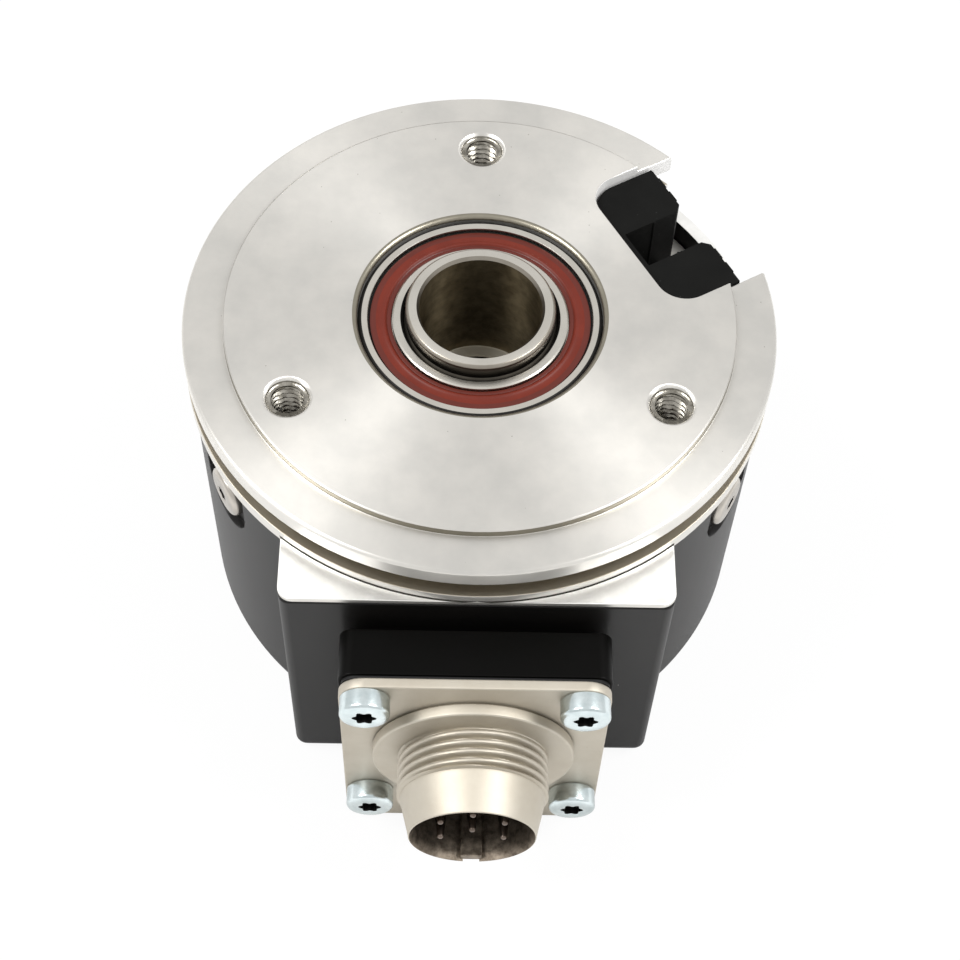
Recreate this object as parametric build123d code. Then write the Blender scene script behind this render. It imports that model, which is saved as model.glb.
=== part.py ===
from build123d import *
import os
from math import cos, radians, sin

# Hollow shaft rotary encoder, all sizes in millimetres.
# The shaft turns about Z, z = 0 is the mounting face of the centring spigot, the cover hangs below it
# and the round connector points towards -Y.

# Mounting flange
flange_over_cover = 0.35
rim_width = 4.0
spigot_height = 0.8
rim_thickness = 2.0
rim_chamfer = 0.25
spigot_edge = 0.1
servo_groove_depth = 2.5
servo_groove_width = 2.15
tier_thickness = 1.55
tongue_thickness = 0.6
tongue_over_cover = 0.05
tongue_corner = 1.4
web_skin = 2.5
hub_wall = 3.5
hub_lip = 0.25
hub_inner_land = 1.0

# Plug of the flange, which enters the cover
plug_wall = 5.2
plug_length = 9.6
plug_fit = 0.1

# Mounting holes in the flange
mounting_holes = 3
mounting_circle_inset = 4.0
mounting_hole_r = 2.0
mounting_hole_depth = 7.0
mounting_hole_chamfer = 0.35
first_hole_angle = 90

# Pocket in the flange with the insert that holds a torque pin
pocket_angle = 30
pocket_half_width = 8.55
pocket_off_hub = 1.55
pocket_corner = 3.0
pocket_depth = 9.4
pocket_floor = 2.1
pocket_side_wall = 1.8
insert_gap = 0.3
insert_top = 1.0
insert_back_wall = 0.7
insert_base = 1.2
insert_base_short = 2.0
pin_slot_width = 4.5
insert_rib = 0.12
insert_rib_width = 1.4
insert_entry = 0.7

# Ball bearings, 15 x 24 x 5
bearing_bore_r = 7.5
bearing_section = 4.5
bearing_width = 5.0
bearing_recess = 0.7
bearing_spacing = 5.0
bearing_chamfer = 0.35
ball_r = 1.19
ball_count = 12
race_gap = 0.03
land_depth = 1.55
inner_shoulder = 1.1
outer_shoulder = 0.95
land_width = 3.2
seal_recess = 0.2
seal_lip_gap = 0.08
cage_land_gap = 0.2
cage_width = 2.7
cage_ball_gap = 0.04

# Hollow shaft
shaft_proud = 0.9
shaft_bore_r = 6.0
shaft_bore_depth = 14.4
screw_bore_r = 4.75
shaft_end_gap = 1.9
shaft_chamfer = 0.2
shaft_end_relief = 0.05

# Rings and spring that hold the bearings
clip_thickness = 0.9
clip_reach = 0.6
shaft_clip_width = 1.5
hub_clip_width = 1.6
clip_gap = 3.5
clip_eye_r = 0.5
spring_thickness = 0.3
spring_rise = 0.35
spring_width = 1.1

# Code disc on its hub
hub_sleeve_wall = 1.5
hub_plate_step = 3.5
hub_plate_thickness = 1.4
hub_tail_step = 2.0
hub_tail_length = 2.2
disc_band = 7.0
disc_thickness = 0.9
disc_clearance = 2.0
clamp_ring_step = 0.5
clamp_ring_thickness = 0.8
hub_screw_r = 1.0
hub_screw_sunk = 0.2

# Light source and sensor
track_inset = 1.9
holder_half_width = 4.5
holder_thickness = 2.0
holder_inward = 4.6
holder_outward = 2.8
lamp_r = 1.5
lamp_flange_r = 1.8
lamp_flange = 0.5
lamp_dome = 0.3
lamp_air = 0.4
mask_size = 6.0
mask_thickness = 0.5
mask_air = 0.3
mask_frame = 1.2
sensor_size = 5.0
sensor_clearance = 0.2
sensor_air = 1.1

# Circuit board. Chips are (angle, length, width, height)
board_gap = 1.5
board_thickness = 1.6
board_to_board = 2.7
board_hole_gap = 4.5
standoff_length = 12.0
standoff_r = 2.5
standoff_on_plug = 2.0
board_screw_r = 1.25
board_screw_head_r = 2.1
board_screw_head = 1.5
board_screw_grip = 3.0
board_screw_recess_r = 0.8
board_screw_end_gap = 0.5
component_room = 6.8
front_chips = [(0, 12, 6, 1.2), (38, 1.6, 1.0, 0.6), (46, 1.6, 1.0, 0.6), (54, 1.6, 1.0, 0.6)]
rear_chips = [(45, 7, 7, 1.2), (135, 8, 4, 1.0), (235, 6, 6, 1.5)]
capacitor_r = 1.6
capacitor_height = 4.0
capacitor_angles = (-14, 0, 14)

# Cover
cover_wall = 1.35
cover_half_width = 18.45
cover_front_step = 0.35
cover_front_wall = 1.5
cover_corner = 1.0
cover_floor = 2.0
cover_bottom_round = 2.0
cover_edge = 0.2
slot_lip_drop = 0.4

# Radial screws of the cover, in notches that are open at the top
cover_screw_below = 4.5
cover_screw_r = 1.5
cover_screw_length = 5.0
cover_screw_head_r = 2.9
cover_screw_head = 1.1
cover_screw_head_round = 0.5
cover_screw_recess_r = 0.9
cover_notch_half_width = 3.9
cover_notch_skin = 0.5

# O-ring between the plug and the cover
seal_wire_r = 0.75
seal_groove_width = 1.7
seal_groove_above_end = 0.8

# Connector
block_below_flange = 2.3
block_side = 2.55
block_below_screws = 3.3
block_depth = 6.15
block_bar = 4.75
block_neck_inset = 1.0
block_neck_drop = 2.6
block_corner = 1.4
gasket_thickness = 0.3
gasket_inset = 0.3
connector_plate_side = 2.5
connector_plate_below_screws = 6.3
connector_plate_thickness = 1.05
connector_plate_corner = 2.5
connector_screw_spacing = 20.4
connector_screw_edge = 2.3
connector_screw_r = 1.25
connector_screw_head_r = 2.35
connector_screw_head = 2.1
connector_screw_length = 4.6
connector_screw_end_gap = 0.3
connector_screw_head_round = 0.7
lobe_count = 6
lobe_r = 0.25
lobe_circle_r = 1.05
lobe_core_r = 0.85
lobe_depth = 1.0
collar_r = 9.75
collar_thickness = 1.25
thread_r = 7.25
thread_length = 4.0
barrel_r = 6.95
barrel_straight = 0.3
barrel_length = 4.15
mouth_r = 6.1
barrel_wall = 0.4
shell_edge = 0.2
sleeve_r = 7.6
socket_depth = 7.0
key_half_width = 0.8
key_depth = 0.85
key_length = 5.0
pin_r = 0.55
pin_circle_r = 3.5
pin_recess = 0.6
pin_point_length = 1.1

# Board and ribbon behind the connector
connector_board_half_width = 7.5
connector_board_below_plug = 0.5
connector_board_below_axis = 7.3
connector_board_thickness = 1.0
connector_board_gap = 1.3
pin_tail = 0.7
ribbon_half_width = 4.0
ribbon_thickness = 0.4
ribbon_bend = 1.5
ribbon_below_axis = 3.3
ribbon_reach = 4.5

# Plug in the back of the cover
plug_hole_r = 7.5
rear_plug_lip_step = 1.5
rear_plug_lip = 1.0
rear_plug_inner = 1.6
rear_slot_width = 1.6
rear_slot_depth = 0.9
rear_slot_inset = 1.5
rear_seal_wire_r = 0.4
rear_plug_fit = 0.1
rear_plug_edge = 0.4
rear_plug_wall = 1.8

# Radii, worked out from the shaft outwards
shaft_r = bearing_bore_r
bearing_outer_r = bearing_bore_r + bearing_section
inner_land_r = bearing_bore_r + land_depth
outer_land_r = bearing_outer_r - land_depth
inner_shoulder_r = bearing_bore_r + inner_shoulder
outer_shoulder_r = bearing_outer_r - outer_shoulder
ball_circle_r = (inner_land_r + outer_land_r) / 2
race_r = ball_r + race_gap
hub_r = bearing_outer_r + hub_wall
hub_sleeve_r = shaft_r + hub_sleeve_wall
hub_plate_r = hub_sleeve_r + hub_plate_step
hub_tail_r = hub_plate_r - hub_tail_step
clamp_ring_r = hub_plate_r - clamp_ring_step
disc_r = hub_plate_r + disc_band
track_r = disc_r - track_inset
standoff_circle_r = disc_r + disc_clearance + standoff_r
plug_inner_r = standoff_circle_r - standoff_on_plug
plug_r = plug_inner_r + plug_wall
cover_inner_r = plug_r + plug_fit
cover_r = cover_inner_r + cover_wall
flange_r = cover_r + flange_over_cover
spigot_r = flange_r - rim_width
servo_groove_r = flange_r - servo_groove_depth
mounting_circle_r = spigot_r - mounting_circle_inset
seal_groove_r = cover_inner_r - 2 * seal_wire_r
board_r = cover_inner_r - board_gap
board_hole_r = shaft_r + board_hole_gap
chip_circle_r = (board_hole_r + board_r) / 2

# Torque pin pocket and insert, measured out from the shaft axis
pocket_inner = hub_r + pocket_off_hub
insert_inner = pocket_inner + insert_gap
insert_outer = spigot_r
insert_half_width = pocket_half_width - insert_gap

# Heights along the shaft, worked out from the mounting face down
rim_top = -spigot_height
rim_bottom = rim_top - rim_thickness
tier_top = rim_bottom - servo_groove_width
tier_bottom = tier_top - tier_thickness
web_bottom = -mounting_hole_depth - web_skin
plug_bottom = tier_bottom - plug_length
front_bearing_top = -bearing_recess
front_bearing_bottom = front_bearing_top - bearing_width
rear_bearing_top = front_bearing_bottom - bearing_spacing
rear_bearing_bottom = rear_bearing_top - bearing_width
spring_bottom = rear_bearing_bottom - spring_rise - spring_thickness
clip_bottom = spring_bottom - clip_thickness
hub_bottom = clip_bottom - hub_lip
shaft_clip_bottom = rear_bearing_bottom - clip_thickness
holder_bottom = hub_bottom - holder_thickness
disc_top = holder_bottom - lamp_flange - lamp_dome - lamp_air
disc_bottom = disc_top - disc_thickness
board_top = plug_bottom - standoff_length
board_bottom = board_top - board_thickness
mask_top = disc_bottom - mask_air
mask_bottom = mask_top - mask_thickness
sensor_top = mask_bottom - sensor_air
cover_top = tier_bottom
cover_inside = board_bottom - component_room
cover_bottom = cover_inside - cover_floor
cover_screw_z = tier_bottom - cover_screw_below
shaft_bottom = cover_inside + rear_plug_inner + shaft_end_gap
seal_groove_bottom = plug_bottom + seal_groove_above_end
seal_groove_top = seal_groove_bottom + seal_groove_width
block_top = tier_bottom - block_below_flange
connector_z = block_top - connector_screw_edge - connector_screw_spacing / 2
lower_screws_z = connector_z - connector_screw_spacing / 2
block_bottom = lower_screws_z - block_below_screws
connector_plate_bottom = lower_screws_z - connector_plate_below_screws

# Distances in front of the shaft axis, worked out from the cover to the connector's mouth
cover_front = cover_r + cover_front_step
block_front = cover_front + block_depth
plate_back = block_front + gasket_thickness
plate_front = plate_back + connector_plate_thickness
collar_front = plate_front + collar_thickness
thread_front = collar_front + thread_length
mouth_y = thread_front + barrel_length
socket_r = mouth_r - barrel_wall
socket_floor = mouth_y - socket_depth
pin_tip_y = mouth_y - pin_recess
connector_board_front = cover_front - cover_front_wall - connector_board_gap
board_rear_y = connector_board_front - connector_board_thickness
board_front = board_rear_y - board_to_board
tongue_half_width = cover_half_width + tongue_over_cover
block_half_width = connector_screw_spacing / 2 + block_side
connector_plate_half_width = connector_screw_spacing / 2 + connector_plate_side

hole_angles = [first_hole_angle + 360 / mounting_holes * k for k in range(mounting_holes)]
pin_places = [(0, 0)] + [
    (pin_circle_r * cos(radians(a)), pin_circle_r * sin(radians(a))) for a in range(-30, 211, 60)
]


def turned(points):
    """Solid turned about Z from a closed outline of (radius, height) points."""
    return revolve(make_face(Plane.XZ * Polyline(*points, close=True)), Axis.Z)


def turned_connector(points):
    """Solid turned about the connector's axis from (radius, distance in front of Z) points."""
    outline = Polyline(*[(r, -y) for r, y in points], close=True)
    return Pos(0, 0, connector_z) * revolve(make_face(outline), Axis.Y)


def ring(outer, inner, top, bottom):
    """Flat ring between two heights."""
    return Pos(0, 0, bottom) * extrude(Circle(outer) - Circle(inner), top - bottom)


def rod(radius, top, bottom, x=0, y=0):
    """Upright rod."""
    return Pos(x, y, bottom) * extrude(Circle(radius), top - bottom)


def box(x0, x1, y0, y1, z0, z1):
    """Box between two corners."""
    return Pos((x0 + x1) / 2, (y0 + y1) / 2, (z0 + z1) / 2) * Box(x1 - x0, y1 - y0, z1 - z0)


def forward_rod(radius, front, back, x=0, z=0):
    """Rod along the connector's axis, from y = -front back to y = -back, placed from that axis."""
    body = extrude(Circle(radius), front - back)
    return Pos(x, -back, z + connector_z) * Rot(90, 0, 0) * body


def radial_rod(radius, inner, outer, angle, height):
    """Rod along a radius of the shaft axis."""
    body = extrude(Circle(radius), outer - inner)
    return Rot(0, 0, angle) * Pos(inner, 0, height) * Rot(0, 90, 0) * body


def in_pocket(shape):
    """Turn a shape drawn along +X into the direction of the torque pin pocket."""
    return Rot(0, 0, pocket_angle) * shape


def cover_outline(radius, half_width, front, corner):
    """Round outline with the square front that carries the connector."""
    outline = Circle(radius) + Pos(0, -front / 2) * Rectangle(2 * half_width, front)
    return fillet(outline.vertices().group_by(Axis.Y)[0], corner)


def make_flange():
    """Turned flange with hub and plug, its tongue, pocket and threaded holes."""
    body = turned([
        (bearing_outer_r + bearing_chamfer, 0), (spigot_r - spigot_edge, 0),
        (spigot_r, -spigot_edge), (spigot_r, rim_top),
        (flange_r - rim_chamfer, rim_top), (flange_r, rim_top - rim_chamfer), (flange_r, rim_bottom),
        (servo_groove_r, rim_bottom), (servo_groove_r, tier_top),
        (flange_r, tier_top), (flange_r, tier_bottom), (plug_r, tier_bottom),
        (plug_r, seal_groove_top), (seal_groove_r, seal_groove_top),
        (seal_groove_r, seal_groove_bottom), (plug_r, seal_groove_bottom), (plug_r, plug_bottom),
        (plug_inner_r, plug_bottom), (plug_inner_r, web_bottom),
        (hub_r, web_bottom), (hub_r, hub_bottom), (bearing_outer_r, hub_bottom),
        (bearing_outer_r, clip_bottom), (bearing_outer_r + clip_reach, clip_bottom),
        (bearing_outer_r + clip_reach, spring_bottom), (bearing_outer_r, spring_bottom),
        (bearing_outer_r, rear_bearing_top), (bearing_outer_r - hub_inner_land, rear_bearing_top),
        (bearing_outer_r - hub_inner_land, front_bearing_bottom),
        (bearing_outer_r, front_bearing_bottom), (bearing_outer_r, -bearing_chamfer),
    ])
    tongue = cover_outline(servo_groove_r, tongue_half_width, cover_front, tongue_corner)
    tongue -= Circle(servo_groove_r - 1)
    body += Pos(0, 0, tier_bottom) * extrude(tongue, tongue_thickness)
    half = pocket_half_width + pocket_side_wall
    bottom = -pocket_depth - pocket_floor
    pad = box(hub_r - 1, plug_r, -half, half, bottom, web_bottom) & rod(plug_inner_r + 1, 0, bottom)
    body += in_pocket(pad) - rod(hub_r - 1, 0, bottom)
    body -= in_pocket(pocket_space(-pocket_depth, 1))
    for angle in hole_angles:
        x = mounting_circle_r * cos(radians(angle))
        y = mounting_circle_r * sin(radians(angle))
        body -= rod(mounting_hole_r, 0, -mounting_hole_depth, x, y)
        body -= Pos(x, y, -mounting_hole_chamfer / 2) * Cone(
            mounting_hole_r, mounting_hole_r + mounting_hole_chamfer, mounting_hole_chamfer)
        body -= radial_rod(cover_screw_r, plug_r - cover_screw_length, plug_r + 1, angle, cover_screw_z)
        body -= Rot(0, 0, angle) * rod(
            board_screw_r, plug_bottom + board_screw_grip, plug_bottom, standoff_circle_r)
    return body


def pocket_space(low, high):
    """Room milled for the insert, open at the rim, with round inner corners."""
    reach = flange_r + 2 - pocket_inner
    outline = Pos(pocket_inner + reach / 2, 0) * Rectangle(reach, 2 * pocket_half_width)
    outline = fillet(outline.vertices().group_by(Axis.X)[0], pocket_corner)
    return Pos(0, 0, low) * extrude(outline, high - low)


def make_slot_insert():
    """Insert with two jaws, a back wall and a base, ribbed on its outer side."""
    half_slot = pin_slot_width / 2
    length = insert_outer - insert_inner
    outline = Pos(insert_inner + length / 2, 0) * Rectangle(length, 2 * insert_half_width)
    outline = fillet(outline.vertices().group_by(Axis.X)[0], pocket_corner - insert_gap)
    slot_length = length - insert_back_wall
    slot = Pos(insert_outer - slot_length / 2, 0) * Rectangle(slot_length, pin_slot_width)
    entry = Pos(insert_outer, 0) * Polygon(
        (-insert_entry, half_slot), (0, half_slot + insert_entry),
        (0, -half_slot - insert_entry), (-insert_entry, -half_slot), align=None)
    jaws = outline - slot - entry
    step = (insert_half_width - half_slot) / 3
    for side in (-1, 1):
        for k in (1, 2):
            y = side * (half_slot + k * step)
            jaws += Pos(insert_outer, y) * Rectangle(2 * insert_rib, insert_rib_width)
        jaws += Pos(insert_outer - slot_length / 2, side * half_slot) * Circle(insert_rib)
    body = Pos(0, 0, -pocket_depth) * extrude(jaws, pocket_depth - insert_top)
    base = box(insert_inner + insert_back_wall, insert_outer - insert_base_short, -half_slot, half_slot,
               -pocket_depth, -pocket_depth + insert_base)
    return in_pocket(body + base)


def make_cover():
    """Thin-walled cover with notches for its screws, the slot's lowered lip and two openings."""
    depth = cover_top - cover_bottom
    outer = cover_outline(cover_r, cover_half_width, cover_front, cover_corner)
    body = Pos(0, 0, cover_bottom) * extrude(outer, depth)
    body = fillet(body.faces().sort_by(Axis.Z)[0].edges(), cover_bottom_round)
    body = chamfer(body.faces().sort_by(Axis.Z)[-1].edges(), cover_edge)
    inner = cover_outline(cover_inner_r, cover_half_width - cover_wall,
                          cover_front - cover_front_wall, cover_corner / 2)
    body -= Pos(0, 0, cover_inside) * extrude(inner, depth)
    body -= in_pocket(pocket_space(cover_top - slot_lip_drop, cover_top + 1))
    notch_r = cover_notch_half_width
    for angle in hole_angles:
        notch = Pos(0, cover_screw_z) * Circle(notch_r)
        notch += Pos(0, (cover_top + 1 + cover_screw_z) / 2) * Rectangle(
            2 * notch_r, cover_top + 1 - cover_screw_z)
        cut = extrude(Plane.YZ * notch, cover_wall)
        body -= Rot(0, 0, angle) * Pos(cover_inner_r + cover_notch_skin, 0, 0) * cut
        body -= radial_rod(cover_screw_r, cover_inner_r - 1, cover_r, angle, cover_screw_z)
    body -= forward_rod(sleeve_r, cover_front + 1, cover_front - cover_front_wall - 1)
    body -= rod(plug_hole_r, cover_inside + 1, cover_bottom)
    body -= rod(plug_hole_r + rear_plug_lip_step, cover_bottom + rear_plug_lip, cover_bottom)
    return body


def make_cover_screws():
    """Three pan head screws that hold the cover on the plug."""
    seat = cover_inner_r + cover_notch_skin
    screws = []
    for angle in hole_angles:
        head = radial_rod(cover_screw_head_r, seat, seat + cover_screw_head, angle, cover_screw_z)
        rim = head.edges().sort_by(lambda edge: edge.center().X ** 2 + edge.center().Y ** 2)[-1]
        head = fillet(rim, cover_screw_head_round)
        head -= radial_rod(
            cover_screw_recess_r, seat + cover_screw_head / 2, seat + cover_screw_head, angle, cover_screw_z)
        shank = radial_rod(cover_screw_r, plug_r - cover_screw_length, seat, angle, cover_screw_z)
        screws.append(head + shank)
    return Compound(screws)


def make_cover_seal():
    """O-ring in the plug's groove, pressed against the cover's wall."""
    middle = (seal_groove_top + seal_groove_bottom) / 2
    return Pos(0, 0, middle) * Torus(cover_inner_r - seal_wire_r, seal_wire_r)


def bearing_parts(top):
    """Inner ring, outer ring, seals, balls and cage of one bearing whose upper face is at top."""
    bottom = top - bearing_width
    middle = (top + bottom) / 2
    land = land_width / 2
    edge = bearing_chamfer
    race = Pos(0, 0, middle) * Torus(ball_circle_r, race_r)
    inner = turned([
        (bearing_bore_r, bottom + edge), (bearing_bore_r + edge, bottom), (inner_shoulder_r, bottom),
        (inner_shoulder_r, middle - land), (inner_land_r, middle - land),
        (inner_land_r, middle + land), (inner_shoulder_r, middle + land), (inner_shoulder_r, top),
        (bearing_bore_r + edge, top), (bearing_bore_r, top - edge),
    ]) - race
    outer = turned([
        (bearing_outer_r - edge, bottom), (bearing_outer_r, bottom + edge),
        (bearing_outer_r, top - edge), (bearing_outer_r - edge, top), (outer_shoulder_r, top),
        (outer_shoulder_r, middle + land), (outer_land_r, middle + land),
        (outer_land_r, middle - land), (outer_shoulder_r, middle - land), (outer_shoulder_r, bottom),
    ]) - race
    seal_inner = inner_shoulder_r + seal_lip_gap
    seals = Compound([
        ring(outer_shoulder_r, seal_inner, top - seal_recess, middle + land + seal_lip_gap),
        ring(outer_shoulder_r, seal_inner, middle - land - seal_lip_gap, bottom + seal_recess),
    ])
    spots = [Rot(0, 0, 360 / ball_count * k) * Pos(ball_circle_r, 0, middle) for k in range(ball_count)]
    balls = Compound([spot * Sphere(ball_r) for spot in spots])
    cage = ring(outer_land_r - cage_land_gap, inner_land_r + cage_land_gap,
                middle + cage_width / 2, middle - cage_width / 2)
    for spot in spots:
        cage -= spot * Rot(0, 90, 0) * Cylinder(ball_r + cage_ball_gap, 2 * ball_r)
    return inner, outer, seals, balls, cage


def make_shaft():
    """Stepped hollow shaft: fitting bore, then a smaller bore for a centre screw."""
    outer = shaft_r - shaft_end_relief
    step = shaft_proud - shaft_bore_depth
    groove = shaft_r - clip_reach
    return turned([
        (shaft_bore_r + shaft_chamfer, shaft_proud), (outer - shaft_chamfer, shaft_proud),
        (outer, shaft_proud - shaft_chamfer), (outer, front_bearing_top),
        (shaft_r, front_bearing_top), (shaft_r, rear_bearing_bottom), (groove, rear_bearing_bottom),
        (groove, shaft_clip_bottom), (shaft_r, shaft_clip_bottom),
        (shaft_r, shaft_bottom + shaft_chamfer), (shaft_r - shaft_chamfer, shaft_bottom),
        (screw_bore_r, shaft_bottom), (screw_bore_r, step), (shaft_bore_r, step),
        (shaft_bore_r, shaft_proud - shaft_chamfer),
    ])


def make_bearing_spacer():
    """Tube that keeps the two inner rings apart."""
    return ring(inner_shoulder_r, bearing_bore_r, front_bearing_bottom, rear_bearing_top)


def make_bearing_spring():
    """Coned preload ring under the rear bearing's outer ring."""
    outer = bearing_outer_r - seal_lip_gap
    inner = outer - spring_width
    return turned([
        (outer, rear_bearing_bottom), (inner, rear_bearing_bottom - spring_rise),
        (inner, spring_bottom), (outer, rear_bearing_bottom - spring_thickness),
    ])


def make_hub_clip():
    """Internal retaining ring in the hub's groove, open at its gap, with two eyes."""
    body = ring(bearing_outer_r + clip_reach, bearing_outer_r - hub_clip_width, spring_bottom, clip_bottom)
    gap = box(0, bearing_outer_r + 2, -clip_gap / 2, clip_gap / 2, clip_bottom, spring_bottom)
    body -= gap
    for side in (-1, 1):
        eye = (bearing_outer_r - 2 * clip_eye_r, side * (clip_gap / 2 + 2 * clip_eye_r))
        body -= rod(clip_eye_r, spring_bottom, clip_bottom, *eye)
    return body


def make_shaft_clip():
    """External retaining ring on the shaft under the rear bearing."""
    outer = shaft_r + shaft_clip_width
    body = ring(outer, shaft_r - clip_reach, rear_bearing_bottom, shaft_clip_bottom)
    return body - box(-outer, 0, -clip_gap / 2, clip_gap / 2, shaft_clip_bottom, rear_bearing_bottom)


def make_disc_hub():
    """Hub that carries the code disc, with a tail for its set screws."""
    plate_bottom = disc_bottom - hub_plate_thickness
    tail_bottom = plate_bottom - hub_tail_length
    top = disc_top + clamp_ring_thickness
    body = turned([
        (shaft_r, top), (hub_sleeve_r, top), (hub_sleeve_r, disc_bottom), (hub_plate_r, disc_bottom),
        (hub_plate_r, plate_bottom), (hub_tail_r, plate_bottom), (hub_tail_r, tail_bottom),
        (shaft_r, tail_bottom),
    ])
    for angle in hole_angles:
        height = plate_bottom - hub_tail_length / 2
        body -= radial_rod(hub_screw_r, shaft_r - 1, hub_tail_r + 1, angle, height)
    return body


def make_disc_hub_screws():
    """Three set screws that hold the hub on the shaft."""
    height = disc_bottom - hub_plate_thickness - hub_tail_length / 2
    end = hub_tail_r - hub_screw_sunk
    return Compound([radial_rod(hub_screw_r, shaft_r, end, angle, height) for angle in hole_angles])


def make_light_source():
    """Lamp with a small flange under the holder and a domed end towards the disc."""
    low = holder_bottom - lamp_flange - lamp_dome
    body = rod(lamp_flange_r, holder_bottom, holder_bottom - lamp_flange, -track_r)
    barrel = rod(lamp_r, hub_bottom, low, -track_r)
    return body + chamfer(barrel.faces().sort_by(Axis.Z)[0].edges(), lamp_dome)


def make_lamp_holder():
    """Bar on the end of the hub that carries the lamp."""
    body = box(-track_r - holder_outward, -track_r + holder_inward, -holder_half_width, holder_half_width,
               holder_bottom, hub_bottom)
    return body - rod(lamp_r, hub_bottom, holder_bottom, -track_r)


def make_scanning_mask():
    """Glass plate close under the code disc."""
    half = mask_size / 2
    return box(-track_r - half, -track_r + half, -half, half, mask_bottom, mask_top)


def make_mask_holder():
    """Frame that stands on the board round the sensor and carries the glass plate."""
    half = mask_size / 2 + mask_frame
    inner = sensor_size / 2 + sensor_clearance
    seat = mask_size / 2
    body = box(-track_r - half, -track_r + half, -half, half, board_top, mask_top)
    body -= box(-track_r - inner, -track_r + inner, -inner, inner, board_top, mask_top)
    return body - box(-track_r - seat, -track_r + seat, -seat, seat, mask_bottom, mask_top)


def make_sensor():
    """Sensor chip on the board."""
    half = sensor_size / 2
    return box(-track_r - half, -track_r + half, -half, half, board_top, sensor_top)


def make_circuit_board():
    """Round board with a flat front edge, a hole for the shaft and its screw holes."""
    outline = Circle(board_r) - Circle(board_hole_r)
    outline -= Pos(0, -board_front - board_r) * Rectangle(3 * board_r, 2 * board_r)
    for angle in hole_angles:
        outline -= Rot(0, 0, angle) * Pos(standoff_circle_r, 0) * Circle(board_screw_r)
    return Pos(0, 0, board_bottom) * extrude(outline, board_thickness)


def make_board_components():
    """Chips on both sides of the board and a row of round capacitors."""
    parts = []
    for angle, length, width, height in front_chips:
        chip = box(-width / 2, width / 2, -length / 2, length / 2, board_top, board_top + height)
        parts.append(Rot(0, 0, angle) * Pos(chip_circle_r, 0, 0) * chip)
    for angle, length, width, height in rear_chips:
        chip = box(-width / 2, width / 2, -length / 2, length / 2, board_bottom - height, board_bottom)
        parts.append(Rot(0, 0, angle) * Pos(chip_circle_r, 0, 0) * chip)
    for angle in capacitor_angles:
        can = rod(capacitor_r, board_bottom, board_bottom - capacitor_height, chip_circle_r)
        parts.append(Rot(0, 0, angle) * can)
    return Compound(parts)


def make_standoffs():
    """Spacers between the plug and the board."""
    bolt = Circle(standoff_r) - Circle(board_screw_r)
    return Compound([
        Rot(0, 0, a) * Pos(standoff_circle_r, 0, board_top) * extrude(bolt, standoff_length)
        for a in hole_angles
    ])


def make_board_screws():
    """Long screws through board and spacers into the plug."""
    low = board_bottom - board_screw_head
    high = plug_bottom + board_screw_grip - board_screw_end_gap
    screw = rod(board_screw_head_r, board_bottom, low, standoff_circle_r)
    screw -= rod(board_screw_recess_r, low + board_screw_head / 2, low, standoff_circle_r)
    screw += rod(board_screw_r, high, board_bottom, standoff_circle_r)
    return Compound([Rot(0, 0, angle) * screw for angle in hole_angles])


def connector_screw_places():
    """Places of the connector's screws, from the connector's axis."""
    half = connector_screw_spacing / 2
    return [(x, z) for x in (-half, half) for z in (-half, half)]


def plate_outline(half_width, top, bottom, corner):
    """Upright plate outline with round corners, drawn in X and Z."""
    outline = Pos(0, (top + bottom) / 2) * RectangleRounded(2 * half_width, top - bottom, corner)
    return Plane.XZ * outline


def make_connector_block():
    """Block between cover and connector: a bar in front of a slimmer neck."""
    bar_back = block_front - block_bar
    bar = extrude(plate_outline(block_half_width, block_top, block_bottom, block_corner), block_bar)
    neck = extrude(
        plate_outline(block_half_width - block_neck_inset, block_top - block_neck_drop,
                      block_bottom + block_neck_inset, block_corner), bar_back - cover_front)
    body = Pos(0, -bar_back, 0) * bar + Pos(0, -cover_front, 0) * neck
    body -= forward_rod(sleeve_r, block_front, cover_front)
    for x, z in connector_screw_places():
        body -= forward_rod(connector_screw_r, block_front, block_front - connector_screw_length, x, z)
    return body


def make_connector_gasket():
    """Thin flat seal between block and connector plate."""
    sheet = plate_outline(block_half_width - gasket_inset, block_top - gasket_inset,
                          block_bottom + gasket_inset, block_corner)
    body = Pos(0, -block_front, 0) * extrude(sheet, gasket_thickness)
    body -= forward_rod(sleeve_r, block_front + 1, block_front - 1)
    for x, z in connector_screw_places():
        body -= forward_rod(connector_screw_r, block_front + 1, block_front - 1, x, z)
    return body


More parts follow.
